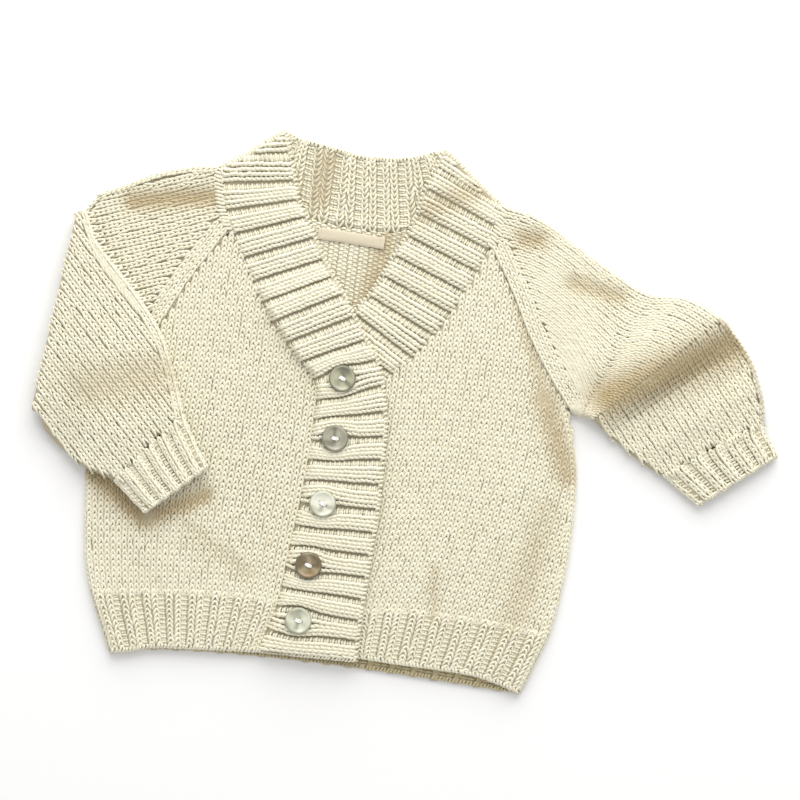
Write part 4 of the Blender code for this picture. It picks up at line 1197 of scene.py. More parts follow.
def tube_centre(table, start, row, share):
    """Middle of the flattened tube at these rows and shares of the way from the shoulder to the underarm."""
    row, share = np.broadcast_arrays(np.asarray(row, float), np.asarray(share, float))
    values = smooth(table, row)
    a, b = values[..., 0:2], values[..., 2:4]
    full, lift, raglan, a_z, b_z, sink_from = np.moveaxis(values[..., 4:], -1, 0)
    plan = a + share[..., None] * (b - a)
    first, last = np.array(table[0][1:3]), np.array(table[0][3:5])
    straight = first + share[..., None] * (last - first)
    keeps = np.where(raglan > 0.001, raglan, 0.0)[..., None]
    plan = plan + keeps * (raglan_line(share, *start) - straight)
    sunk = smoothstep(sink_from, 1.0, share)
    profile = LIFT_AT_SHOULDER_EDGE + LIFT_MIDDLE * np.sin(np.pi * share)
    profile = profile - LIFT_LOST_AT_UNDERARM * np.clip(share, 0, 1) ** 3
    puff = full * np.sin(np.pi * np.clip(share, 0, 1))
    height = a_z + (b_z - a_z) * sunk + np.maximum(lift, 0.0) * profile + puff
    return at_height(plan, height), puff


def left_centre(row, share):
    return tube_centre(LEFT_SLEEVE, sleeve_start(LEFT_FRONT), row, share)


def right_centre(row, share):
    """Between the last row under the fold and the first over it, the tube turns up and over."""
    start = sleeve_start(RIGHT_FRONT)
    crease, upper = RIGHT_SLEEVE_UNDER[-1], RIGHT_SLEEVE_OVER[0]
    row, share = np.broadcast_arrays(np.asarray(row, float), np.asarray(share, float))
    under, under_puff = tube_centre(RIGHT_SLEEVE_UNDER, start, np.minimum(row, crease.row), share)
    over, over_puff = tube_centre(RIGHT_SLEEVE_OVER, start, np.maximum(row, upper.row), share)
    fold = unit(np.array([crease.b_x - crease.a_x, crease.b_y - crease.a_y]))
    angle = np.clip(row - crease.row, 0, 1) * math.pi
    turned = under.copy()
    turned[..., :2] += np.array([fold[1], -fold[0]]) * (FOLD_RADIUS * np.sin(angle))[..., None]
    turned[..., 2] += FOLD_RADIUS * (1 - np.cos(angle))
    centre = np.where((row >= upper.row)[..., None], over, turned)
    return centre, np.where(row >= upper.row, over_puff, under_puff)


def tube_place(centre_of, row, share):
    """The middle of a tube, how far it puffs out there, and the direction square to it."""
    nudge = 0.02
    centre, puff = centre_of(row, share)
    before, _ = centre_of(row - nudge, share)
    after, _ = centre_of(row + nudge, share)
    towards_a, _ = centre_of(row, share - nudge)
    towards_b, _ = centre_of(row, share + nudge)
    return centre, puff, unit(np.cross(towards_b - towards_a, after - before))


def tube_face(centre_of, side, square):
    """The outside of a sleeve, at rows of its table and columns of stitches from its shoulder edge."""
    radius = SLEEVE_DEPTH / 2
    quarter = math.pi / 2

    def face(row, u, ribs=0.0):
        row, u = np.broadcast_arrays(np.asarray(row, float), np.asarray(u, float))
        ends = centre_of(row, np.zeros(row.shape))[0], centre_of(row, np.ones(row.shape))[0]
        width = np.linalg.norm(ends[1] - ends[0], axis=-1)
        reach = u * wale_width() / square
        turn = reach / radius
        flat = width - 2 * radius
        last = radius * math.pi / 2 + flat
        far = quarter - (reach - last) / radius
        near_turn, far_turn = np.maximum(turn, -quarter), np.maximum(far, -quarter)
        share = np.where(
            turn < quarter,
            radius / width * (1 - np.cos(near_turn)),
            np.where(
                reach < last,
                (radius + reach - radius * math.pi / 2) / width,
                1 - radius / width * (1 - np.cos(far_turn)),
            ),
        )
        depth = np.where(turn < quarter, np.sin(near_turn), np.where(reach < last, 1.0, np.sin(far_turn)))
        inward = np.maximum(-quarter - turn, 0) * radius / width
        outer = np.maximum(-quarter - far, 0) * radius / width
        share = share + inward * (turn < 0) - outer * (reach > last)
        centre, puff, normal = tube_place(centre_of, row, share)
        out = (radius + puff) * depth * side + ribs * (depth > 0.97) * side
        return centre + normal * out[..., None]

    return face


def course_rows(face, wales, first, last):
    """A function that gives the table's row where a column of stitches has counted this many courses back
    from the cuff, which are negative numbers."""
    rows = np.linspace(first, last, 260)
    columns = np.arange(wales[0], wales[1] + 0.51, 0.5)
    points = face(rows[None, :], columns[:, None])
    steps = np.linalg.norm(np.diff(points, axis=1), axis=-1)
    back = np.concatenate([np.zeros((len(columns), 1)), np.cumsum(steps[:, ::-1], axis=1)], axis=1)
    counts = np.arange(0, math.ceil(back.max() / course_height()) + 2)
    table = np.array([np.interp(counts * course_height(), line, rows[::-1]) for line in back])
    beyond = np.maximum(counts * course_height() - back[:, -1:], 0)
    table = table - beyond / (back[:, -1:] - back[:, -11:-10]) * 10 * (rows[1] - rows[0])

    def row_of(u, v):
        i = np.clip((u - wales[0]) * 2, 0, len(columns) - 1.001)
        j = np.clip(-v, 0, len(counts) - 1.001)
        i0, j0 = i.astype(int), j.astype(int)
        fi, fj = i - i0, j - j0
        near = table[i0, j0] * (1 - fj) + table[i0, j0 + 1] * fj
        far = table[i0 + 1, j0] * (1 - fj) + table[i0 + 1, j0 + 1] * fj
        return near * (1 - fi) + far * fi + np.maximum(v, 0) * 0.1

    return row_of, len(counts) - 1


def sleeve_stitches(centre_of, side, square, wales, rows, keep, rng, strands):
    """The plain knitting of a sleeve between two rows of its table."""
    tube = tube_face(centre_of, side, square)
    row_of, courses = course_rows(tube, (wales[0] - 1, wales[1] + 1), rows[0], rows[1])

    def face(u, v):
        return tube(row_of(u, v), u)

    u, v = grid(wales, (-courses, 0))
    row = row_of(u + 0.5, v + 0.5)
    started = row > rows[0]
    u, v = u[started], v[started]
    middle = face(u + 0.5, v + 0.5)
    good = keep(middle)
    lay(strands, face, u[good], v[good], STEEP_KNIT, rng)


def seam_yarn(strands, line, rng):
    """The yarn that closes a seam, seen as a row of short sunk stitches in its groove."""
    line = np.asarray(line, float)
    count = round(length_of(line) / 2.6)
    shares = (np.arange(count) + 0.5) / count
    reach = 0.75 / count
    steps = shares[:, None] + reach * np.linspace(-1, 1, 5)
    plan = along(line, np.clip(steps, 0, 1), curved=False)
    deep = np.array([-1.0, -0.2, 0.0, -0.2, -1.0])
    heights = np.full(steps.shape, FRONT_Z + 0.9) + deep + rng.normal(0, 0.1, (count, 1))
    points = at_height(plan, heights)
    normals = np.broadcast_to(UPWARDS, points.shape)
    width = np.array([0.0, 1.0, 1.0, 1.0, 0.0]) * yarn_radius()
    # The yarn in the groove is given a low tone, as painted shade.
    strands.add(points, normals, width, np.full(count, 0.2))


def join_stitches(strands, line, rng, pitch=2.3, reach=2.4):
    """Slanted stitches across a join, from the cloth on one side of it to the cloth on the other."""
    line = np.asarray(line, float)
    count = round(length_of(line) / pitch)
    shares = (np.arange(count) + 0.5) / count
    place = along(line, shares, curved=False)
    run = direction(line, shares, 0.02, curved=False)
    aside = np.column_stack([-run[:, 1], run[:, 0]])
    steps = np.array([-1.3, -1.0, -0.4, 0.4, 1.0, 1.3])
    slant = aside * reach + run * 0.4 * pitch
    plan = place[:, None] + slant[:, None] * steps[:, None]
    found = ALL_NODES.top(plan)
    ends = np.maximum(found[:, [1, 4]], FRONT_Z)
    part = (steps + 1) / 2
    deep = np.array([-1.3, -0.3, 0.1, 0.1, -0.3, -1.3])
    z = ends[:, :1] * (1 - part) + ends[:, 1:] * part + deep + rng.normal(0, 0.08, (count, 1))
    points = at_height(plan, z)
    normals = np.broadcast_to(UPWARDS, points.shape)
    width = np.array([0.0, 0.95, 1.05, 1.05, 0.95, 0.0]) * yarn_radius()
    strands.add(points, normals, width, patches_of_tone(place) + rng.normal(0, 0.08, count), tall=0.75)


def raglan_strip(front, node, rng, strands):
    """Columns of stitches along the raglan, on the sleeve's side of it."""
    _, raglan = sleeve_start(front)
    line = raglan[::-1]
    rows = round(length_of(line) / course_height())
    cover = Cover([node])

    def plan(u, v):
        share = np.clip(v / rows, 0, 1)
        place = along(line, share)
        run = direction(line, share, 0.04)
        out = np.stack([run[..., 1], -run[..., 0]], axis=-1) * -front.outward
        return place + out * (0.6 + STRIP_WALE * u)[..., None] + run * (v - np.clip(v, 0, rows))[..., None]

    def face(u, v):
        places = plan(u, v)
        z = cover.top(places)
        return at_height(places, np.where(z < 0, SLEEVE_DEPTH, z))

    u, v = grid((0, STRIP_WALES), (0, rows))
    middle = face(u + 0.5, v + 0.5)
    keep = shows(middle) & (middle[:, 2] < STRIP_TOP)
    lay(strands, face, u[keep], v[keep], KNIT, rng, lift=0.1)
    seam_yarn(strands, line, rng)


def strip_outline(raglan):
    """The outline of the columns along a raglan, which runs upwards."""
    line = np.array(raglan)
    run = unit(np.gradient(line, axis=0))
    out = np.column_stack([run[:, 1], -run[:, 0]]) * np.sign(line[0, 0])
    return np.concatenate([line - 2 * out, (line + out * (STRIP_WALES * STRIP_WALE + 0.8))[::-1]])


def cuff_stitches(centre_of, rows, rng):
    """The ribbed cuff: u counts columns across the face that shows, v counts rows to the open end."""
    radius = SLEEVE_DEPTH / 2
    ends = [centre_of(np.array([sum(rows) / 2]), np.array([share]))[0] for share in (0.0, 1.0)]
    start = centre_of(np.array([rows[0]]), np.array([0.5]))[0]
    end = centre_of(np.array([rows[1]]), np.array([0.5]))[0]
    courses = round(float(np.linalg.norm(end - start)) / course_height())
    width = float(np.linalg.norm(ends[1] - ends[0]))
    columns = CUFF_RIBS * WALES_A_RIB

    def face(u, v):
        row = rows[0] + (rows[1] - rows[0]) * v / courses
        rib = rib_place(u, HEM_SQUEEZE)
        part = rib / CUFF_RIBS
        share = CUFF_MARGIN + (1 - 2 * CUFF_MARGIN) * np.clip(part, 0, 1)
        beyond = np.where(part < 0, part, np.where(part > 1, part - 1, 0.0)) * width * (1 - 2 * CUFF_MARGIN)
        margin = CUFF_MARGIN * width - radius
        over = np.maximum(np.abs(beyond) - margin, 0)
        turn = np.minimum(over / radius, 2.4)
        flat = np.minimum(np.abs(beyond), margin)
        edge_share = (flat + radius * np.sin(np.minimum(turn, math.pi / 2))) / width
        edge_share = edge_share - radius / width * (1 - np.sin(np.maximum(turn, math.pi / 2)))
        share = share + np.sign(beyond) * edge_share
        depth = np.cos(turn)
        centre, puff, normal = tube_place(centre_of, row, share)
        raised = RIB_RAISE * rib_wave(rib) * (turn < 0.01)
        out = (radius + puff) * depth + raised
        return centre + normal * out[..., None]

    strands = Strands()
    ribbed(strands, face, (-2, columns + 2), (0, courses), rng, knit=STEEP_KNIT)
    cuff_end(strands, face, columns, courses, rng)
    return strands


def cuff_end(strands, face, columns, courses, rng):
    """Loops round the open end of a cuff, over both its walls."""
    u = np.arange(-2, columns + 2, 0.6)
    outer = face(u, np.full(len(u), float(courses)))
    before = face(u, np.full(len(u), courses - 0.5))
    run = unit(outer - before)
    aside = unit(np.gradient(outer, axis=0))
    normal = unit(np.cross(aside, run))
    normal *= np.sign(normal[:, 2].mean())
    angles = np.radians([150, 118, 84, 50, 17, -20, -60, -100])
    width = np.array([0.0, 0.9, 1.0, 1.0, 1.0, 1.0, 0.9, 0.0])
    forward = 1.0 * np.cos(angles)
    rise = -1.1 + 1.1 * np.sin(angles)
    slant = 0.8 * np.sin(angles)
    points = outer[:, None] + run[:, None] * forward[:, None] + normal[:, None] * rise[:, None]
    points = points + aside[:, None] * slant[:, None]
    normals = unit(run[:, None] * np.cos(angles)[:, None] + normal[:, None] * np.sin(angles)[:, None])
    tone = patches_of_tone(points[:, 3]) + rng.normal(0, 0.08, len(u))
    strands.add(points, normals, width * yarn_radius(), tone)


def straight_face(cover, start, angle, square=RIGHT_SQUARE):
    """Parallel columns on a solid's upper face: v counts rows along the angle and u columns beside it. No
    stitch bends down over an edge by more than the stitch drop."""
    run = np.array([math.cos(angle), math.sin(angle)])
    aside = np.array([-run[1], run[0]])

    def face(u, v):
        plan = (wale_width() / square * u)[..., None] * aside + (course_height() * v)[..., None] * run
        plan = plan + np.array(start)
        z = cover.top(plan)
        z = np.where(z < 0, SLEEVE_DEPTH, z)
        if z.ndim > 1:
            z = np.maximum(z, z.max(axis=-1, keepdims=True) - STITCH_DROP)
        return at_height(plan, z)

    return face


def straight_stitches(face, cover, wales, courses):
    """The stitches of such a face that lie on its solid, and the middle of each."""
    u, v = grid(wales, courses)
    middle = face(u + 0.5, v + 0.5)
    held = (cover.around(middle[:, :2], EDGE_CLEAR) > 0).all(axis=0)
    return u[held], v[held], middle[held]


def arm_edges(rows):
    """The plan lines of a sleeve's edges a and b, along these rows of its table."""
    return [(row.a_x, row.a_y) for row in rows], [(row.b_x, row.b_y) for row in rows]


def arm_stitches(strands, rows, cover, knit, rng, fold_outline=None):
    """Straight knitting between the first and the last of a sleeve's rows, and on its fold. It reaches over
    the join with the cuff, and leaves the edge at a free for columns that follow it."""
    near_edge, far_edge = arm_edges(rows)
    face = straight_face(cover, near_edge[0], knit.angle, knit.square)
    u, v, middle = straight_stitches(face, cover, knit.wales, knit.courses)
    plan = middle[:, :2]
    keep = inside(plan, near_edge + far_edge[::-1])
    keep |= off_line(plan, [near_edge[-1], far_edge[-1]]) < JOIN_REACH
    keep &= (off_line(plan, near_edge) > knit.margin) & (off_line(plan, far_edge) > FAR_MARGIN)
    if fold_outline is not None:
        keep |= inside(plan, fold_outline)
    lay(strands, face, u[keep], v[keep], STEEP_KNIT, rng)


def clear_of_raglan(neck, raglan):
    """A test for the stitches of a sleeve: they show, and leave room for the columns along its raglan."""
    outline = strip_outline(raglan)

    def keep(middle):
        plan = middle[:, :2]
        return ~inside(plan, outline) & (off_line(plan, neck) > NECK_MARGIN) & shows(middle)

    return keep


def left_sleeve_stitches(rng):
    """The upper arm follows the tube, and the forearm is straight knitting with an edge that follows it."""
    strands = Strands("left_sleeve")
    neck, raglan = sleeve_start(LEFT_FRONT)
    keep = clear_of_raglan(neck, raglan)
    lower = LEFT_SLEEVE[LOWER_ROWS]
    upper_rows, lower_rows = (LEFT_SLEEVE[0].row, lower[0].row), (lower[0].row, lower[-1].row)
    sleeve_stitches(left_centre, 1.0, LEFT_SQUARE, UPPER_WALES, upper_rows, keep, rng, strands)
    arm_stitches(strands, lower, Cover(["left_sleeve", "left_cuff"]), LOWER_ARM, rng)
    sleeve_stitches(left_centre, 1.0, LEFT_SQUARE, LOWER_EDGE_WALES, lower_rows, keep, rng, strands)
    raglan_strip(LEFT_FRONT, "left_sleeve", rng, strands)
    join_stitches(strands, neck, rng)
    return strands


def right_sleeve_stitches(rng):
    """Straight knitting below the fold and on the folded arm, each with an edge that follows the tube."""
    strands = Strands("right_sleeve")
    neck, raglan = sleeve_start(RIGHT_FRONT)
    own = Cover(["right_sleeve"])
    shoulder, underarm = arm_edges(RIGHT_SLEEVE_UNDER)
    fold = np.array([shoulder[-1], underarm[-1]])
    fold_outline = np.concatenate([fold + FOLD_STRIP[0], fold[::-1] + FOLD_STRIP[1]])
    over = RIGHT_SLEEVE_OVER[OVER_ROWS]
    over_a, over_b = arm_edges(over)
    under_rows = (RIGHT_SLEEVE_UNDER[0].row, RIGHT_SLEEVE_UNDER[-1].row)
    over_rows = (over[0].row, over[-1].row)
    keep_under = clear_of_raglan(neck, raglan)

    def keep_over(middle):
        return (own.around(middle[:, :2], EDGE_REACH) > 0).any(axis=0) & shows(middle)

    sleeve_stitches(right_centre, -1.0, RIGHT_SQUARE, UNDER_EDGE_WALES, under_rows, keep_under, rng, strands)
    face = straight_face(own, UNDER_FROM, UNDER_ANGLE)
    u, v, middle = straight_stitches(face, own, UNDER_WALES, UNDER_COURSES)
    plan = middle[:, :2]
    keep = keep_under(middle) & (middle[:, 2] < UNDER_TOP) & (off_line(plan, shoulder) > UNDER_MARGIN)
    keep &= ~inside(plan, over_a + over_b[::-1]) & ~inside(plan, fold_outline)
    lay(strands, face, u[keep], v[keep], STEEP_KNIT, rng)
    arm_stitches(strands, over, Cover(["right_sleeve", "right_cuff"]), OVER_ARM, rng, fold_outline)
    sleeve_stitches(right_centre, 1.0, RIGHT_SQUARE, OVER_EDGE_WALES, over_rows, keep_over, rng, strands)
    raglan_strip(RIGHT_FRONT, "right_sleeve", rng, strands)
    join_stitches(strands, neck, rng)
    return strands


# ---------------------------------------------------------------- materials


def add_node(tree, kind, at, **values):
    node = tree.nodes.new(kind)
    node.location = at
    for name, value in values.items():
        setattr(node, name, value)
    return node


def math_node(tree, operation, at, *values):
    """The output of a math node on these numbers or sockets."""
    node = add_node(tree, "ShaderNodeMath", at, operation=operation)
    for socket, value in zip(node.inputs, values):
        if isinstance(value, (int, float)):
            socket.default_value = value
        else:
            tree.links.new(value, socket)
    return node.outputs[0]


def object_place(tree, at):
    return add_node(tree, "ShaderNodeTexCoord", at).outputs["Object"]


def axes_of(tree, at, vector):
    split = add_node(tree, "ShaderNodeSeparateXYZ", at)
    tree.links.new(vector, split.inputs[0])
    return split.outputs


def noise_of(tree, at, vector, scale, detail=2.0):
    noise = add_node(tree, "ShaderNodeTexNoise", at)
    noise.inputs["Scale"].default_value = scale
    noise.inputs["Detail"].default_value = detail
    tree.links.new(vector, noise.inputs["Vector"])
    return noise.outputs["Fac"]


def new_group(name, inputs, outputs):
    """An empty shader node group with these sockets, and its input and output nodes."""
    group = bpy.data.node_groups.new(name, "ShaderNodeTree")
    for label, kind, default in inputs:
        socket = group.interface.new_socket(label, in_out="INPUT", socket_type=kind)
        if default is not None:
            socket.default_value = default
    for label, kind in outputs:
        group.interface.new_socket(label, in_out="OUTPUT", socket_type=kind)
    return group, add_node(group, "NodeGroupInput", (-900, 0)), add_node(group, "NodeGroupOutput", (700, 0))


def mix_colour(tree, at, factor, first, second):
    node = add_node(tree, "ShaderNodeMix", at, data_type="RGBA")
    for socket, value in ((node.inputs[0], factor), (node.inputs[6], first), (node.inputs[7], second)):
        if isinstance(value, (int, float)):
            socket.default_value = value
        elif isinstance(value, tuple):
            socket.default_value = (*value, 1.0)
        else:
            tree.links.new(value, socket)
    return node.outputs[2]


def yarn_shade_group():
    """Colour of a yarn from its tone, painted shade towards the Deep colour, and a slight marl."""
    name = "Yarn shade"
    if name in bpy.data.node_groups:
        return bpy.data.node_groups[name]
    inputs = [
        ("Tone", "NodeSocketFloat", 0.5),
        ("Sunk", "NodeSocketFloat", 0.0),
        ("Light", "NodeSocketColor", None),
        ("Dark", "NodeSocketColor", None),
        ("Deep", "NodeSocketColor", None),
    ]
    outputs = [("Color", "NodeSocketColor"), ("Roughness", "NodeSocketFloat")]
    group, source, out = new_group(name, inputs, outputs)
    marl = noise_of(group, (-700, -300), object_place(group, (-900, -320)), scale=420.0, detail=3.0)
    spread = math_node(group, "MULTIPLY_ADD", (-500, -300), marl, 0.5, -0.25)
    tone = math_node(group, "ADD", (-300, -100), source.outputs["Tone"], spread)
    tone.node.use_clamp = True
    colour = mix_colour(group, (-100, 100), tone, source.outputs["Dark"], source.outputs["Light"])
    # Painted shade: the colour is mixed towards Deep where the yarn is sunk, at its ends and in hollows.
    colour = mix_colour(group, (150, 100), source.outputs["Sunk"], colour, source.outputs["Deep"])
    group.links.new(colour, out.inputs["Color"])
    rough = math_node(group, "MULTIPLY_ADD", (150, -200), marl, 0.16, 0.78)
    group.links.new(rough, out.inputs["Roughness"])
    return group


def ply_twist_group():
    """Height of twisted plies and loose fibres on a yarn. Ply holds the turn round the yarn and the way along
    it in millimetres."""
    name = "Ply twist"
    if name in bpy.data.node_groups:
        return bpy.data.node_groups[name]
    inputs = [
        ("Ply", "NodeSocketVector", None),
        ("Plies", "NodeSocketFloat", 3.0),
        ("Pitch", "NodeSocketFloat", 2.4),
    ]
    group, source, out = new_group(name, inputs, [("Height", "NodeSocketFloat")])
    round_yarn, down_yarn, _ = axes_of(group, (-700, 0), source.outputs["Ply"])
    turn = math_node(group, "MULTIPLY", (-500, 100), round_yarn, source.outputs["Plies"])
    run = math_node(group, "DIVIDE", (-500, -100), down_yarn, source.outputs["Pitch"])
    phase = math_node(group, "ADD", (-300, 0), turn, run)
    phase = math_node(group, "MULTIPLY", (-150, 0), phase, 2 * math.pi)
    wave = math_node(group, "SINE", (0, 0), phase)
    fibres = noise_of(group, (-300, -350), object_place(group, (-500, -350)), scale=2200.0)
    height = math_node(group, "ADD", (200, 0), wave, fibres)
    group.links.new(height, out.inputs["Height"])
    return group


def knit_rows_group():
    """Height of plain knitting seen from a little way off: columns of slanted legs."""
    name = "Knit rows"
    if name in bpy.data.node_groups:
        return bpy.data.node_groups[name]
    inputs = [("Wale", "NodeSocketFloat", 0.0038), ("Course", "NodeSocketFloat", 0.0031)]
    group, source, out = new_group(name, inputs, [("Height", "NodeSocketFloat")])
    x, y, _ = axes_of(group, (-750, -200), object_place(group, (-900, -200)))
    across = math_node(group, "DIVIDE", (-600, 0), x, source.outputs["Wale"])
    up = math_node(group, "DIVIDE", (-600, -200), y, source.outputs["Course"])
    leg = math_node(group, "PINGPONG", (-450, 0), across, 0.5)
    slant = math_node(group, "MULTIPLY_ADD", (-300, -100), leg, 1.4, up)
    step = math_node(group, "PINGPONG", (-150, -100), slant, 0.5)
    round_leg = math_node(group, "PINGPONG", (-300, 100), leg, 0.25)
    height = math_node(group, "MULTIPLY", (100, 0), step, round_leg)
    group.links.new(height, out.inputs["Height"])
    return group


def new_material(name, roughness, sheen=0.0):
    """A material with its Principled BSDF."""
    material = bpy.data.materials.new(name)
    material.use_nodes = True
    shader = material.node_tree.nodes["Principled BSDF"]
    shader.inputs["Roughness"].default_value = roughness
    shader.inputs["Sheen Weight"].default_value = sheen
    shader.inputs["Sheen Roughness"].default_value = 0.5
    shader.inputs["Specular IOR Level"].default_value = 0.25
    return material, shader


def bump(tree, shader, height, distance, strength=1.0):
    node = add_node(tree, "ShaderNodeBump", (-200, -300))
    node.inputs["Distance"].default_value = distance
    node.inputs["Strength"].default_value = strength
    tree.links.new(height, node.inputs["Height"])
    tree.links.new(node.outputs[0], shader.inputs["Normal"])


def yarn_material(name, light, dark, deep):
    """Soft plied cotton in shades of cream."""
    if name in bpy.data.materials:
        return bpy.data.materials[name]
    material, shader = new_material(name, 0.85, sheen=0.15)
    tree = material.node_tree
    tone = add_node(tree, "ShaderNodeAttribute", (-900, 200), attribute_name="tone")
    # The sunk attribute holds painted shade, which the Deep colour paints on the yarn.
    sunk = add_node(tree, "ShaderNodeAttribute", (-900, 0), attribute_name="sunk")
    ply = add_node(tree, "ShaderNodeAttribute", (-900, -300), attribute_name="ply")
    shade = add_node(tree, "ShaderNodeGroup", (-550, 100), node_tree=yarn_shade_group())
    tree.links.new(tone.outputs["Fac"], shade.inputs["Tone"])
    tree.links.new(sunk.outputs["Fac"], shade.inputs["Sunk"])
    for label, colour in (("Light", light), ("Dark", dark), ("Deep", deep)):
        shade.inputs[label].default_value = (*colour, 1.0)
    tree.links.new(shade.outputs["Color"], shader.inputs["Base Color"])
    tree.links.new(shade.outputs["Roughness"], shader.inputs["Roughness"])
    twist = add_node(tree, "ShaderNodeGroup", (-550, -300), node_tree=ply_twist_group())
    tree.links.new(ply.outputs["Vector"], twist.inputs["Ply"])
    bump(tree, shader, twist.outputs["Height"], 0.00012, 0.7)
    return material


def shell_material(name, colour, dark):
    """The inside of the knitting, seen between the yarns, in painted shade: colours darker than the yarn,
    darkest in the gaps of a knit pattern.
    """
    if name in bpy.data.materials:
        return bpy.data.materials[name]
    material, shader = new_material(name, 0.95)
    tree = material.node_tree
    rows = add_node(tree, "ShaderNodeGroup", (-700, -100), node_tree=knit_rows_group())
    lift = math_node(tree, "MULTIPLY", (-500, 100), rows.outputs["Height"], 6.0)
    lift.node.use_clamp = True
    # Painted shade: the dark colour fills the gaps between the pattern's legs.
    mixed = mix_colour(tree, (-300, 100), lift, dark, colour)
    tree.links.new(mixed, shader.inputs["Base Color"])
    bump(tree, shader, rows.outputs["Height"], 0.003)
    return material


# ---------------------------------------------------------------- pieces


def new_object(name, data):
    obj = bpy.data.objects.new(name, data)
    bpy.context.scene.collection.objects.link(obj)
    return obj


def mesh_from(shape, name, angle):
    """A mesh of this form, smooth but for edges that turn by more than the angle in degrees."""
    mesh = bpy.data.meshes.new(name)
    shape.to_mesh(mesh)
    shape.free()
    mesh.shade_smooth()
    mesh.set_sharp_from_angle(angle=math.radians(angle))
    return mesh


def finish_piece(obj):
    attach(obj, BODY)


# Painted shade darkens a yarn's green and blue more than its red.
DIM_POWERS = (1.0, 1.25, 2.0)


def yarn_piece(name, strands, painted_dim=1.0):
    """One object from collected yarns. Dim darkens its colours as painted shade, for a cloth that lies in the
    shade of another.
    """
    choice = settings()
    obj = new_object(name, strands.mesh(name))
    shades = [choice.yarn_light, choice.yarn_dark, choice.yarn_painted_shade]
    colours = [tuple(part * painted_dim**power for part, power in zip(shade, DIM_POWERS)) for shade in shades]
    obj.data.materials.append(yarn_material("cream_yarn" if painted_dim == 1 else "painted_shade_yarn", *colours))
    finish_piece(obj)
    return obj


def shell_piece(node, aside, inset, painted_dim):
    """The body of a cloth behind its stitches: its solid drawn in a little, less at its lower face."""
    choice = settings()
    shape = bmesh.new()
    shape.from_mesh(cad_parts[node].data)
    bmesh.ops.remove_doubles(shape, verts=shape.verts, dist=1e-6)
    bmesh.ops.recalc_face_normals(shape, faces=shape.faces)
    shape.normal_update()
    moves = [vertex.normal * MM for vertex in shape.verts]
    for vertex, move in zip(shape.verts, moves):
        vertex.co -= Vector((move.x * aside, move.y * aside, move.z * (inset if move.z > 0 else UNDER_INSET)))
    mesh = mesh_from(shape, f"{node}_cloth", angle=60)
    obj = new_object(mesh.name, mesh)
    # Painted shade: the body's colours are darker than the yarn to stand for the shade between stitches, and
    # dim darkens them further.
    colours = [tuple(part * painted_dim for part in shade) for shade in (choice.inside_painted_shade, choice.gap_painted_shade)]
    mesh.materials.append(shell_material(f"knit_inside_{round(100 * painted_dim)}", *colours))
    finish_piece(obj)
    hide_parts(node)
    return obj


# Each cloth's cut laid flat: its two sides in metres, and its own area where it isn't a rectangle
Flat = namedtuple("Flat", "sides area", defaults=[None])


def cloth(
    node, held, rests_on, stitches, slot="knit_cream", aside=-0.1, inset=SHELL_INSET, painted_dim=1.0, shell_painted_dim=1.0
):
    """A node's cloth with its stitches. Its body stands back from the solid's faces by the inset and from its
    edges by aside, in millimetres."""
    shell = shell_piece(node, aside, inset, shell_painted_dim)
    yarn = yarn_piece(f"{node}_stitches", stitches, painted_dim)


def nacre_group():
    """Colour of a slice of shell: broad soft bands round a place beside the button, and a darker rim of
    painted shade.
    """
    name = "Nacre"
    if name in bpy.data.node_groups:
        return bpy.data.node_groups[name]
    inputs = [(label, "NodeSocketColor", None) for label in ("Light", "Mid", "Dark")]
    inputs += [("Turn", "NodeSocketFloat", 0.0), ("Centre", "NodeSocketVector", None)]
    inputs += [("Middle", "NodeSocketVector", None)]
    group, source, out = new_group(name, inputs, [("Color", "NodeSocketColor")])
    place = object_place(group, (-900, -300))
    away = add_node(group, "ShaderNodeVectorMath", (-750, -200), operation="SUBTRACT")
    group.links.new(place, away.inputs[0])
    group.links.new(source.outputs["Centre"], away.inputs[1])
    warp = noise_of(group, (-750, -400), place, scale=90.0, detail=1.0)
    x, y, _ = axes_of(group, (-600, -200), away.outputs[0])
    angle = math_node(group, "ARCTAN2", (-450, -200), y, x)
    angle = math_node(group, "ADD", (-300, -200), angle, source.outputs["Turn"])
    bent = math_node(group, "MULTIPLY_ADD", (-150, -200), warp, 3.2, angle)
    broad = math_node(group, "SINE", (0, -200), bent)
    broad = math_node(group, "MULTIPLY_ADD", (130, -200), broad, 0.5, 0.5)
    fine = math_node(group, "MULTIPLY", (0, -400), bent, 3.0)
    fine = math_node(group, "SINE", (130, -400), fine)
    fine = math_node(group, "MULTIPLY_ADD", (260, -400), fine, 0.42, 0.4)
    colour = mix_colour(group, (300, 100), broad, source.outputs["Dark"], source.outputs["Mid"])
    colour = mix_colour(group, (480, 100), fine, colour, source.outputs["Light"])
    across = add_node(group, "ShaderNodeVectorMath", (130, -600), operation="DISTANCE")
    group.links.new(place, across.inputs[0])
    group.links.new(source.outputs["Middle"], across.inputs[1])
    rim = add_node(group, "ShaderNodeMapRange", (300, -600))
    rim.inputs["From Min"].default_value = BUTTON_RIM_SHADE[0] * MM
    rim.inputs["From Max"].default_value = BUTTON_RIM_SHADE[1] * MM
    group.links.new(across.outputs["Value"], rim.inputs["Value"])
    # Painted shade round the rim.
    colour = mix_colour(group, (660, 100), rim.outputs["Result"], colour, source.outputs["Dark"])
    group.links.new(colour, out.inputs["Color"])
    return group


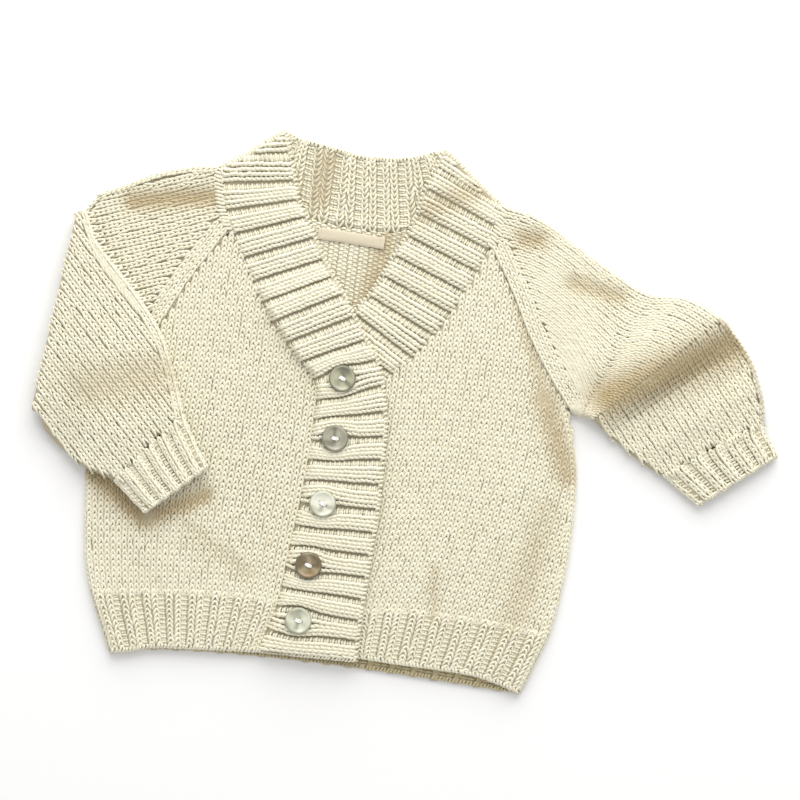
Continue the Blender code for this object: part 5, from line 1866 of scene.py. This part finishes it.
def shell_button_material(number, look):
    material, shader = new_material(f"shell_{number}", 0.32)
    shader.inputs["Specular IOR Level"].default_value = 0.45
    shader.inputs["Coat Weight"].default_value = 0.35
    shader.inputs["Coat Roughness"].default_value = 0.12
    tree = material.node_tree
    nacre = add_node(tree, "ShaderNodeGroup", (-400, 100), node_tree=nacre_group())
    for label, colour in (("Light", look.light), ("Mid", look.mid), ("Dark", look.dark)):
        nacre.inputs[label].default_value = (*colour, 1.0)
    nacre.inputs["Turn"].default_value = look.turn
    x, y = BUTTONS[number]
    centre_x, centre_y = x + NACRE_FROM[0], y + NACRE_FROM[1]
    nacre.inputs["Centre"].default_value = ((centre_x + SHIFT[0]) * MM, (centre_y + SHIFT[1]) * MM, 0.0)
    height = BUTTON_Z + BUTTON_SECTION[-1][1]
    nacre.inputs["Middle"].default_value = ((x + SHIFT[0]) * MM, (y + SHIFT[1]) * MM, height * MM)
    tree.links.new(nacre.outputs["Color"], shader.inputs["Base Color"])
    return material


# A button's section, from its edge to its dished middle: distance from the axis and height
BUTTON_SECTION = [
    (7.2, 0.0),
    (7.85, 0.45),
    (8.0, 1.0),
    (7.9, 1.6),
    (7.5, 2.1),
    (7.0, 2.35),
    (6.5, 2.3),
    (6.0, 2.0),
    (5.2, 1.7),
    (4.4, 1.6),
]
BUTTON_TURNS = 64
# The rim's painted shade starts and is full at these distances from the axis
BUTTON_RIM_SHADE = (6.9, 7.7)
# The bands of shell run round a place this far from the axis
NACRE_FROM = (0.8, -0.6)
# Each hole is a cylinder up to its knee, and flares above it
HOLE_RADIUS = 0.95
HOLE_KNEE = 1.35
HOLE_FLARE = 0.25
HOLE_TURNS = 20
# Three shades of shell, how far its bands are turned, and the angle of the thread in degrees
Look = namedtuple("Look", "light mid dark turn thread slot")
BUTTON_LOOKS = [
    Look((0.5, 0.49, 0.34), (0.33, 0.33, 0.23), (0.15, 0.15, 0.1), 2.6, -24.0, "shell_grey"),
    Look((0.46, 0.44, 0.34), (0.32, 0.31, 0.23), (0.19, 0.18, 0.13), 0.4, -4.0, "shell_grey"),
    Look((0.88, 0.86, 0.74), (0.72, 0.72, 0.58), (0.38, 0.38, 0.28), 4.4, -22.0, "shell_pale"),
    Look((0.38, 0.32, 0.2), (0.28, 0.19, 0.09), (0.13, 0.1, 0.05), 1.2, -17.0, "shell_brown"),
    Look((0.78, 0.78, 0.62), (0.55, 0.57, 0.43), (0.36, 0.37, 0.27), 0.2, -12.0, "shell_pale"),
]


def ring_of(shape, radius, height, turns, x=0.0, y=0.0):
    angles = 2 * np.pi * np.arange(turns) / turns
    return [shape.verts.new((x + radius * math.cos(a), y + radius * math.sin(a), height)) for a in angles]


def join_rings(shape, first, second):
    edges = []
    for k in range(len(first)):
        after = (k + 1) % len(first)
        shape.faces.new((first[k], first[after], second[after], second[k]))
        edges.append(shape.edges.get((second[k], second[after])))
    return edges


def button_piece(number):
    """A dished shell button with two holes."""
    look = BUTTON_LOOKS[number]
    shape = bmesh.new()
    rings = [ring_of(shape, radius, height, BUTTON_TURNS) for radius, height in BUTTON_SECTION]
    for first, second in zip(rings, rings[1:]):
        inner_edges = join_rings(shape, first, second)
    turn = math.radians(look.thread)
    outer_edges = [shape.edges.get((rings[0][k], rings[0][k - 1])) for k in range(BUTTON_TURNS)]
    for way in (-1, 1):
        x, y = way * HOLE_SPACING / 2 * math.cos(turn), way * HOLE_SPACING / 2 * math.sin(turn)
        low = ring_of(shape, HOLE_RADIUS, 0.0, HOLE_TURNS, x, y)
        mid = ring_of(shape, HOLE_RADIUS, HOLE_KNEE, HOLE_TURNS, x, y)
        high = ring_of(shape, HOLE_RADIUS + HOLE_FLARE, BUTTON_SECTION[-1][1], HOLE_TURNS, x, y)
        join_rings(shape, low, mid)
        inner_edges += join_rings(shape, mid, high)
        outer_edges += [shape.edges.get((low[k], low[k - 1])) for k in range(HOLE_TURNS)]
    for edges in (inner_edges, outer_edges):
        bmesh.ops.triangle_fill(shape, edges=edges, use_beauty=True)
    bmesh.ops.recalc_face_normals(shape, faces=shape.faces)
    x, y = BUTTONS[number]
    for vertex in shape.verts:
        vertex.co = (vertex.co + Vector((x, y, BUTTON_Z)) + Vector(SHIFT)) * MM
    mesh = mesh_from(shape, f"shell_button_{number + 1}", angle=40)
    mesh.materials.append(shell_button_material(number, look))
    obj = new_object(mesh.name, mesh)
    finish_piece(obj)
    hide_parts(f"button_{number + 1}")


def button_threads(rng):
    """The threads that hold the buttons, from one hole of each to the other."""
    strands = Strands(sides=6)
    floor = BUTTON_Z + BUTTON_SECTION[-1][1]
    for (x, y), look in zip(BUTTONS, BUTTON_LOOKS):
        turn = math.radians(look.thread)
        run = np.array([math.cos(turn), math.sin(turn)])
        aside = np.array([-run[1], run[0]])
        count = 4
        lanes = np.linspace(-0.75, 0.75, count) + rng.normal(0, 0.05, count)
        way = np.array([-1.25, -1.2, -1.0, -0.5, 0.0, 0.5, 1.0, 1.2, 1.25]) * HOLE_SPACING / 2
        rise = np.array([-1.6, -0.9, 0.15, 0.55, 0.65, 0.55, 0.15, -0.9, -1.6])
        spread = np.array([0.3, 0.4, 0.75, 1.0, 1.0, 1.0, 0.75, 0.4, 0.3])
        plan = np.array([x, y]) + way[:, None] * run + (lanes[:, None] * spread)[..., None] * aside
        z = floor + np.broadcast_to(rise, (count, len(rise)))
        points = at_height(plan, z)
        normals = np.broadcast_to(UPWARDS, points.shape)
        width = np.array([0.0, 0.9, 1.0, 1.0, 1.0, 1.0, 1.0, 0.9, 0.0]) * THREAD_RADIUS
        strands.add(points, normals, width, np.full(count, 0.9), tall=1.0)
    obj = new_object("button_threads", strands.mesh("button_threads"))
    # The third colour is the thread's painted shade.
    colours = ((1.0, 0.98, 0.92), (0.95, 0.92, 0.84), (0.75, 0.7, 0.58))
    obj.data.materials.append(yarn_material("white_thread", *colours))
    finish_piece(obj)


def weave_group():
    """Height of a fine ribbon's weave, in metres across and along it."""
    name = "Ribbon weave"
    if name in bpy.data.node_groups:
        return bpy.data.node_groups[name]
    inputs = [("Thread", "NodeSocketFloat", 0.00045)]
    group, source, out = new_group(name, inputs, [("Height", "NodeSocketFloat")])
    axes = axes_of(group, (-750, -200), object_place(group, (-900, -200)))
    waves = []
    for axis in (0, 1):
        turn = math_node(group, "DIVIDE", (-600, -200 * axis), axes[axis], source.outputs["Thread"])
        turn = math_node(group, "MULTIPLY", (-450, -200 * axis), turn, 2 * math.pi)
        waves.append(math_node(group, "SINE", (-300, -200 * axis), turn))
    height = math_node(group, "MULTIPLY", (0, 0), *waves)
    group.links.new(height, out.inputs["Height"])
    return group


def label_piece():
    """A blank strip of woven ribbon sewn below the neck, its short ends folded under."""
    length, width, thick = LABEL_SIZE
    steps, lanes = 48, 8
    shape = bmesh.new()
    sides = []
    for face in (1.0, 0.0):
        grid = []
        for i in range(steps + 1):
            part = i / steps
            end = min(part, 1 - part) * length
            row = []
            for j in range(lanes + 1):
                across = j / lanes
                x = (part - 0.5) * length
                y = (across - 0.5) * width + 0.25 * math.sin(3.1 * part + 0.4)
                bow = 0.35 * math.sin(math.pi * part) * math.sin(math.pi * across) + 0.12 * math.sin(9 * part)
                fold = 0.45 * (1 - smoothstep(1.6, 2.6, end))
                pinch = 0.35 * (1 - smoothstep(0.0, 0.8, min(across, 1 - across) * width))
                z = float((bow + fold - pinch + thick) * face)
                turned = Vector((x, y, z))
                turned.rotate(Vector((1, 0, 0)).rotation_difference(Vector((1, math.tan(LABEL_TURN), 0))))
                place = turned + Vector((*LABEL_AT, WALL + 0.75)) + Vector(SHIFT)
                row.append(shape.verts.new(place * MM))
            grid.append(row)
        sides.append(grid)
    top, bottom = sides
    for i in range(steps):
        for j in range(lanes):
            shape.faces.new((top[i][j], top[i + 1][j], top[i + 1][j + 1], top[i][j + 1]))
            shape.faces.new((bottom[i][j], bottom[i][j + 1], bottom[i + 1][j + 1], bottom[i + 1][j]))
    border = [(i, 0) for i in range(steps)] + [(steps, j) for j in range(lanes)]
    border += [(i, lanes) for i in range(steps, 0, -1)] + [(0, j) for j in range(lanes, 0, -1)]
    for (i, j), (k, m) in zip(border, border[1:] + border[:1]):
        shape.faces.new((bottom[i][j], bottom[k][m], top[k][m], top[i][j]))
    bmesh.ops.recalc_face_normals(shape, faces=shape.faces)
    mesh = mesh_from(shape, "label_ribbon", angle=50)
    material, shader = new_material("ribbon", 0.6, sheen=0.2)
    shader.inputs["Base Color"].default_value = (*settings().label_colour, 1.0)
    weave = add_node(material.node_tree, "ShaderNodeGroup", (-400, -300), node_tree=weave_group())
    bump(material.node_tree, shader, weave.outputs["Height"], 0.00006)
    mesh.materials.append(material)
    obj = new_object("label_ribbon", mesh)
    finish_piece(obj)
    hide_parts("neck_label")


class CARDIGAN_OT_back(bpy.types.Operator):
    """Make the back, its hem and the band behind the neck"""

    bl_idname = "cardigan.back"
    bl_label = "Back"

    def execute(self, context):
        rng = np.random.default_rng(SEEDS["back"])
        cloth("back_panel", "laid", [], back_inside_stitches(rng))
        # The back hem's yarn is darkened with painted shade, as it lies under the fronts.
        cloth("back_hem", "laid", [], back_hem_stitches(rng), slot="rib_cream", painted_dim=0.7)
        cloth("back_neck_band", "laid", [], neck_stitches(rng), slot="rib_cream")
        return {"FINISHED"}


class CARDIGAN_OT_fronts(bpy.types.Operator):
    """Make the two fronts with their ribbed hems"""

    bl_idname = "cardigan.fronts"
    bl_label = "Fronts"

    def execute(self, context):
        for front in (RIGHT_FRONT, LEFT_FRONT):
            name = f"{front.name}_front"
            rng = np.random.default_rng(SEEDS[name])
            strands = front_stitches(front, rng)
            side_roll(front, rng, strands)
            cloth(f"{name}_panel", "laid", ["back_panel"], strands, inset=FRONT_INSET)
            strands = front_hem_stitches(front, rng)
            cloth(f"{name}_hem", "laid", ["back_hem"], strands, slot="rib_cream")
        return {"FINISHED"}


class CARDIGAN_OT_bands(bpy.types.Operator):
    """Make the two ribbed front bands"""

    bl_idname = "cardigan.bands"
    bl_label = "Front bands"

    def execute(self, context):
        rng = np.random.default_rng(SEEDS["bands"])
        strands = band_stitches(LEFT_BAND, 0.0, LEFT_FOLD_SAG, False, -1.0, rng)
        # The bands' insides are darkened further, as painted shade in their deep grooves.
        how = {"slot": "rib_cream", "inset": BAND_INSET, "shell_painted_dim": 0.85}
        cloth("left_front_band", "folded", ["back_panel"], strands, **how)
        strands = band_stitches(RIGHT_BAND, 1.0, RIGHT_FOLD_SAG, True, 1.0, rng)
        cloth("right_front_band", "folded", ["left_front_band"], strands, **how)
        return {"FINISHED"}


class CARDIGAN_OT_sleeves(bpy.types.Operator):
    """Make the two sleeves with their cuffs"""

    bl_idname = "cardigan.sleeves"
    bl_label = "Sleeves"

    def execute(self, context):
        rng = np.random.default_rng(SEEDS["sleeves"])
        below = ["right_front_panel"]
        how = {"aside": SHELL_INSET, "inset": SOFT_INSET}
        cloth("left_sleeve", "laid", [], left_sleeve_stitches(rng), **how)
        cuff = cuff_stitches(left_centre, LEFT_CUFF_ROWS, rng)
        cloth("left_cuff", "laid", [], cuff, slot="rib_cream", **how)
        cloth("right_sleeve", "folded", below, right_sleeve_stitches(rng), **how)
        cuff = cuff_stitches(right_centre, RIGHT_CUFF_ROWS, rng)
        cloth("right_cuff", "laid", below, cuff, slot="rib_cream", **how)
        return {"FINISHED"}


class CARDIGAN_OT_buttons(bpy.types.Operator):
    """Make the five buttons and the threads that hold them"""

    bl_idname = "cardigan.buttons"
    bl_label = "Buttons"

    def execute(self, context):
        for number in range(len(BUTTONS)):
            button_piece(number)
        button_threads(np.random.default_rng(SEEDS["threads"]))
        return {"FINISHED"}


class CARDIGAN_OT_label(bpy.types.Operator):
    """Make the blank label below the neck"""

    bl_idname = "cardigan.label"
    bl_label = "Label"

    def execute(self, context):
        label_piece()
        return {"FINISHED"}


# The picture's middle in the garment's frame and its width in metres, the camera's height, turn and sensor,
# the way from the middle to the lamp, and half the floor's side
PICTURE_MIDDLE = (36.2, 10.5)
PICTURE_WIDTH = 0.48
CAMERA_HEIGHT = 1.8
CAMERA_TURN = math.radians(7.0)
SENSOR_WIDTH = 36.0
TO_LAMP = Vector((0.03, 1.55, 0.78))
HALF_FLOOR = 3.0


class CARDIGAN_OT_stage(bpy.types.Operator):
    """Make the floor, the lights and the camera"""

    bl_idname = "cardigan.stage"
    bl_label = "Stage"

    def execute(self, context):
        choice = settings()
        scene = context.scene
        mesh = bpy.data.meshes.new("floor")
        corners = [(x * HALF_FLOOR, y * HALF_FLOOR, 0) for x, y in ((-1, -1), (1, -1), (1, 1), (-1, 1))]
        mesh.from_pydata(corners, [], [(0, 1, 2, 3)])
        floor = new_object("floor", mesh)
        material, shader = new_material("pale_floor", 0.9)
        shader.inputs["Base Color"].default_value = (0.9, 0.9, 0.9, 1)
        mesh.materials.append(material)
        world = bpy.data.worlds.new("studio")
        world.use_nodes = True
        background = world.node_tree.nodes["Background"]
        background.inputs["Color"].default_value = (1.0, 1.0, 1.0, 1)
        background.inputs["Strength"].default_value = choice.fill_light
        scene.world = world
        scene.view_settings.view_transform = "Standard"
        middle = Vector(((PICTURE_MIDDLE[0] + SHIFT[0]) * MM, (PICTURE_MIDDLE[1] + SHIFT[1]) * MM, 0))
        light = bpy.data.lights.new("key", "AREA")
        light.shape = "DISK"
        light.size = choice.key_size
        light.energy = choice.key_light
        light.color = (1.0, 0.99, 0.97)
        lamp = new_object("key", light)
        lamp.location = middle + TO_LAMP
        lamp.rotation_euler = (-TO_LAMP).to_track_quat("-Z", "Y").to_euler()
        camera = new_object("camera", bpy.data.cameras.new("camera"))
        camera.data.sensor_width = SENSOR_WIDTH
        camera.data.lens = SENSOR_WIDTH * CAMERA_HEIGHT / PICTURE_WIDTH
        camera.location = middle + Vector((0, 0, CAMERA_HEIGHT))
        camera.rotation_euler = (0, 0, CAMERA_TURN)
        scene.camera = camera
        return {"FINISHED"}


class CardiganSettings(bpy.types.PropertyGroup):
    """Sizes and colours of the knitting and its light"""

    stitch_width: bpy.props.FloatProperty(
        name="Stitch width", description="Width of one column of stitches", default=0.0038, unit="LENGTH"
    )
    row_height: bpy.props.FloatProperty(
        name="Row height", description="Height of one row of stitches", default=0.00315, unit="LENGTH"
    )
    yarn_thickness: bpy.props.FloatProperty(
        name="Yarn thickness", description="Thickness of the yarn", default=0.0019, unit="LENGTH"
    )
    yarn_light: bpy.props.FloatVectorProperty(
        name="Light yarn", description="The yarn's lighter shade", default=(0.89, 0.86, 0.7), subtype="COLOR"
    )
    yarn_dark: bpy.props.FloatVectorProperty(
        name="Dark yarn", description="The yarn's darker shade", default=(0.84, 0.795, 0.62), subtype="COLOR"
    )
    # The colour of the painted shade on the yarn's lower side, its ends and its hollows.
    yarn_painted_shade: bpy.props.FloatVectorProperty(
        name="Deep yarn", description="Yarn in shade", default=(0.52, 0.42, 0.24), subtype="COLOR"
    )
    # Painted shade: the inside colours stand for the shade between the yarns, the dark one for the gaps.
    inside_painted_shade: bpy.props.FloatVectorProperty(
        name="Inside", description="The cloth behind the stitches", default=(0.66, 0.6, 0.43), subtype="COLOR"
    )
    gap_painted_shade: bpy.props.FloatVectorProperty(
        name="Inside, dark", description="Gaps between stitches", default=(0.5, 0.44, 0.3), subtype="COLOR"
    )
    label_colour: bpy.props.FloatVectorProperty(
        name="Label", description="The blank label's ribbon", default=(0.72, 0.64, 0.48), subtype="COLOR"
    )
    key_light: bpy.props.FloatProperty(
        name="Key light", description="Power of the soft light beyond the neck", default=47.0, unit="POWER"
    )
    key_size: bpy.props.FloatProperty(
        name="Key size", description="Width of the soft light", default=2.4, unit="LENGTH"
    )
    fill_light: bpy.props.FloatProperty(
        name="Fill light", description="Strength of the light from all round", default=0.73
    )


OPERATORS = (
    CARDIGAN_OT_back,
    CARDIGAN_OT_fronts,
    CARDIGAN_OT_bands,
    CARDIGAN_OT_sleeves,
    CARDIGAN_OT_buttons,
    CARDIGAN_OT_label,
    CARDIGAN_OT_stage,
)


class CARDIGAN_PT_panel(bpy.types.Panel):
    """Lists the cardigan's pieces"""

    bl_idname = "CARDIGAN_PT_panel"
    bl_label = "Cardigan"
    bl_space_type = "VIEW_3D"
    bl_region_type = "UI"
    bl_category = "Cardigan"

    def draw(self, context):
        for name in CardiganSettings.__annotations__:
            self.layout.prop(context.scene.cardigan, name)
        for operator in OPERATORS:
            self.layout.operator(operator.bl_idname)


CLASSES = (CardiganSettings, *OPERATORS, CARDIGAN_PT_panel)


def register():
    for item in CLASSES:
        bpy.utils.register_class(item)
    bpy.types.Scene.cardigan = bpy.props.PointerProperty(type=CardiganSettings)


def unregister():
    del bpy.types.Scene.cardigan
    for item in reversed(CLASSES):
        bpy.utils.unregister_class(item)


def main():
    register()
    for operator in OPERATORS:
        family, name = operator.bl_idname.split(".")
        getattr(getattr(bpy.ops, family), name)()


if __name__ == "__main__":
    main()
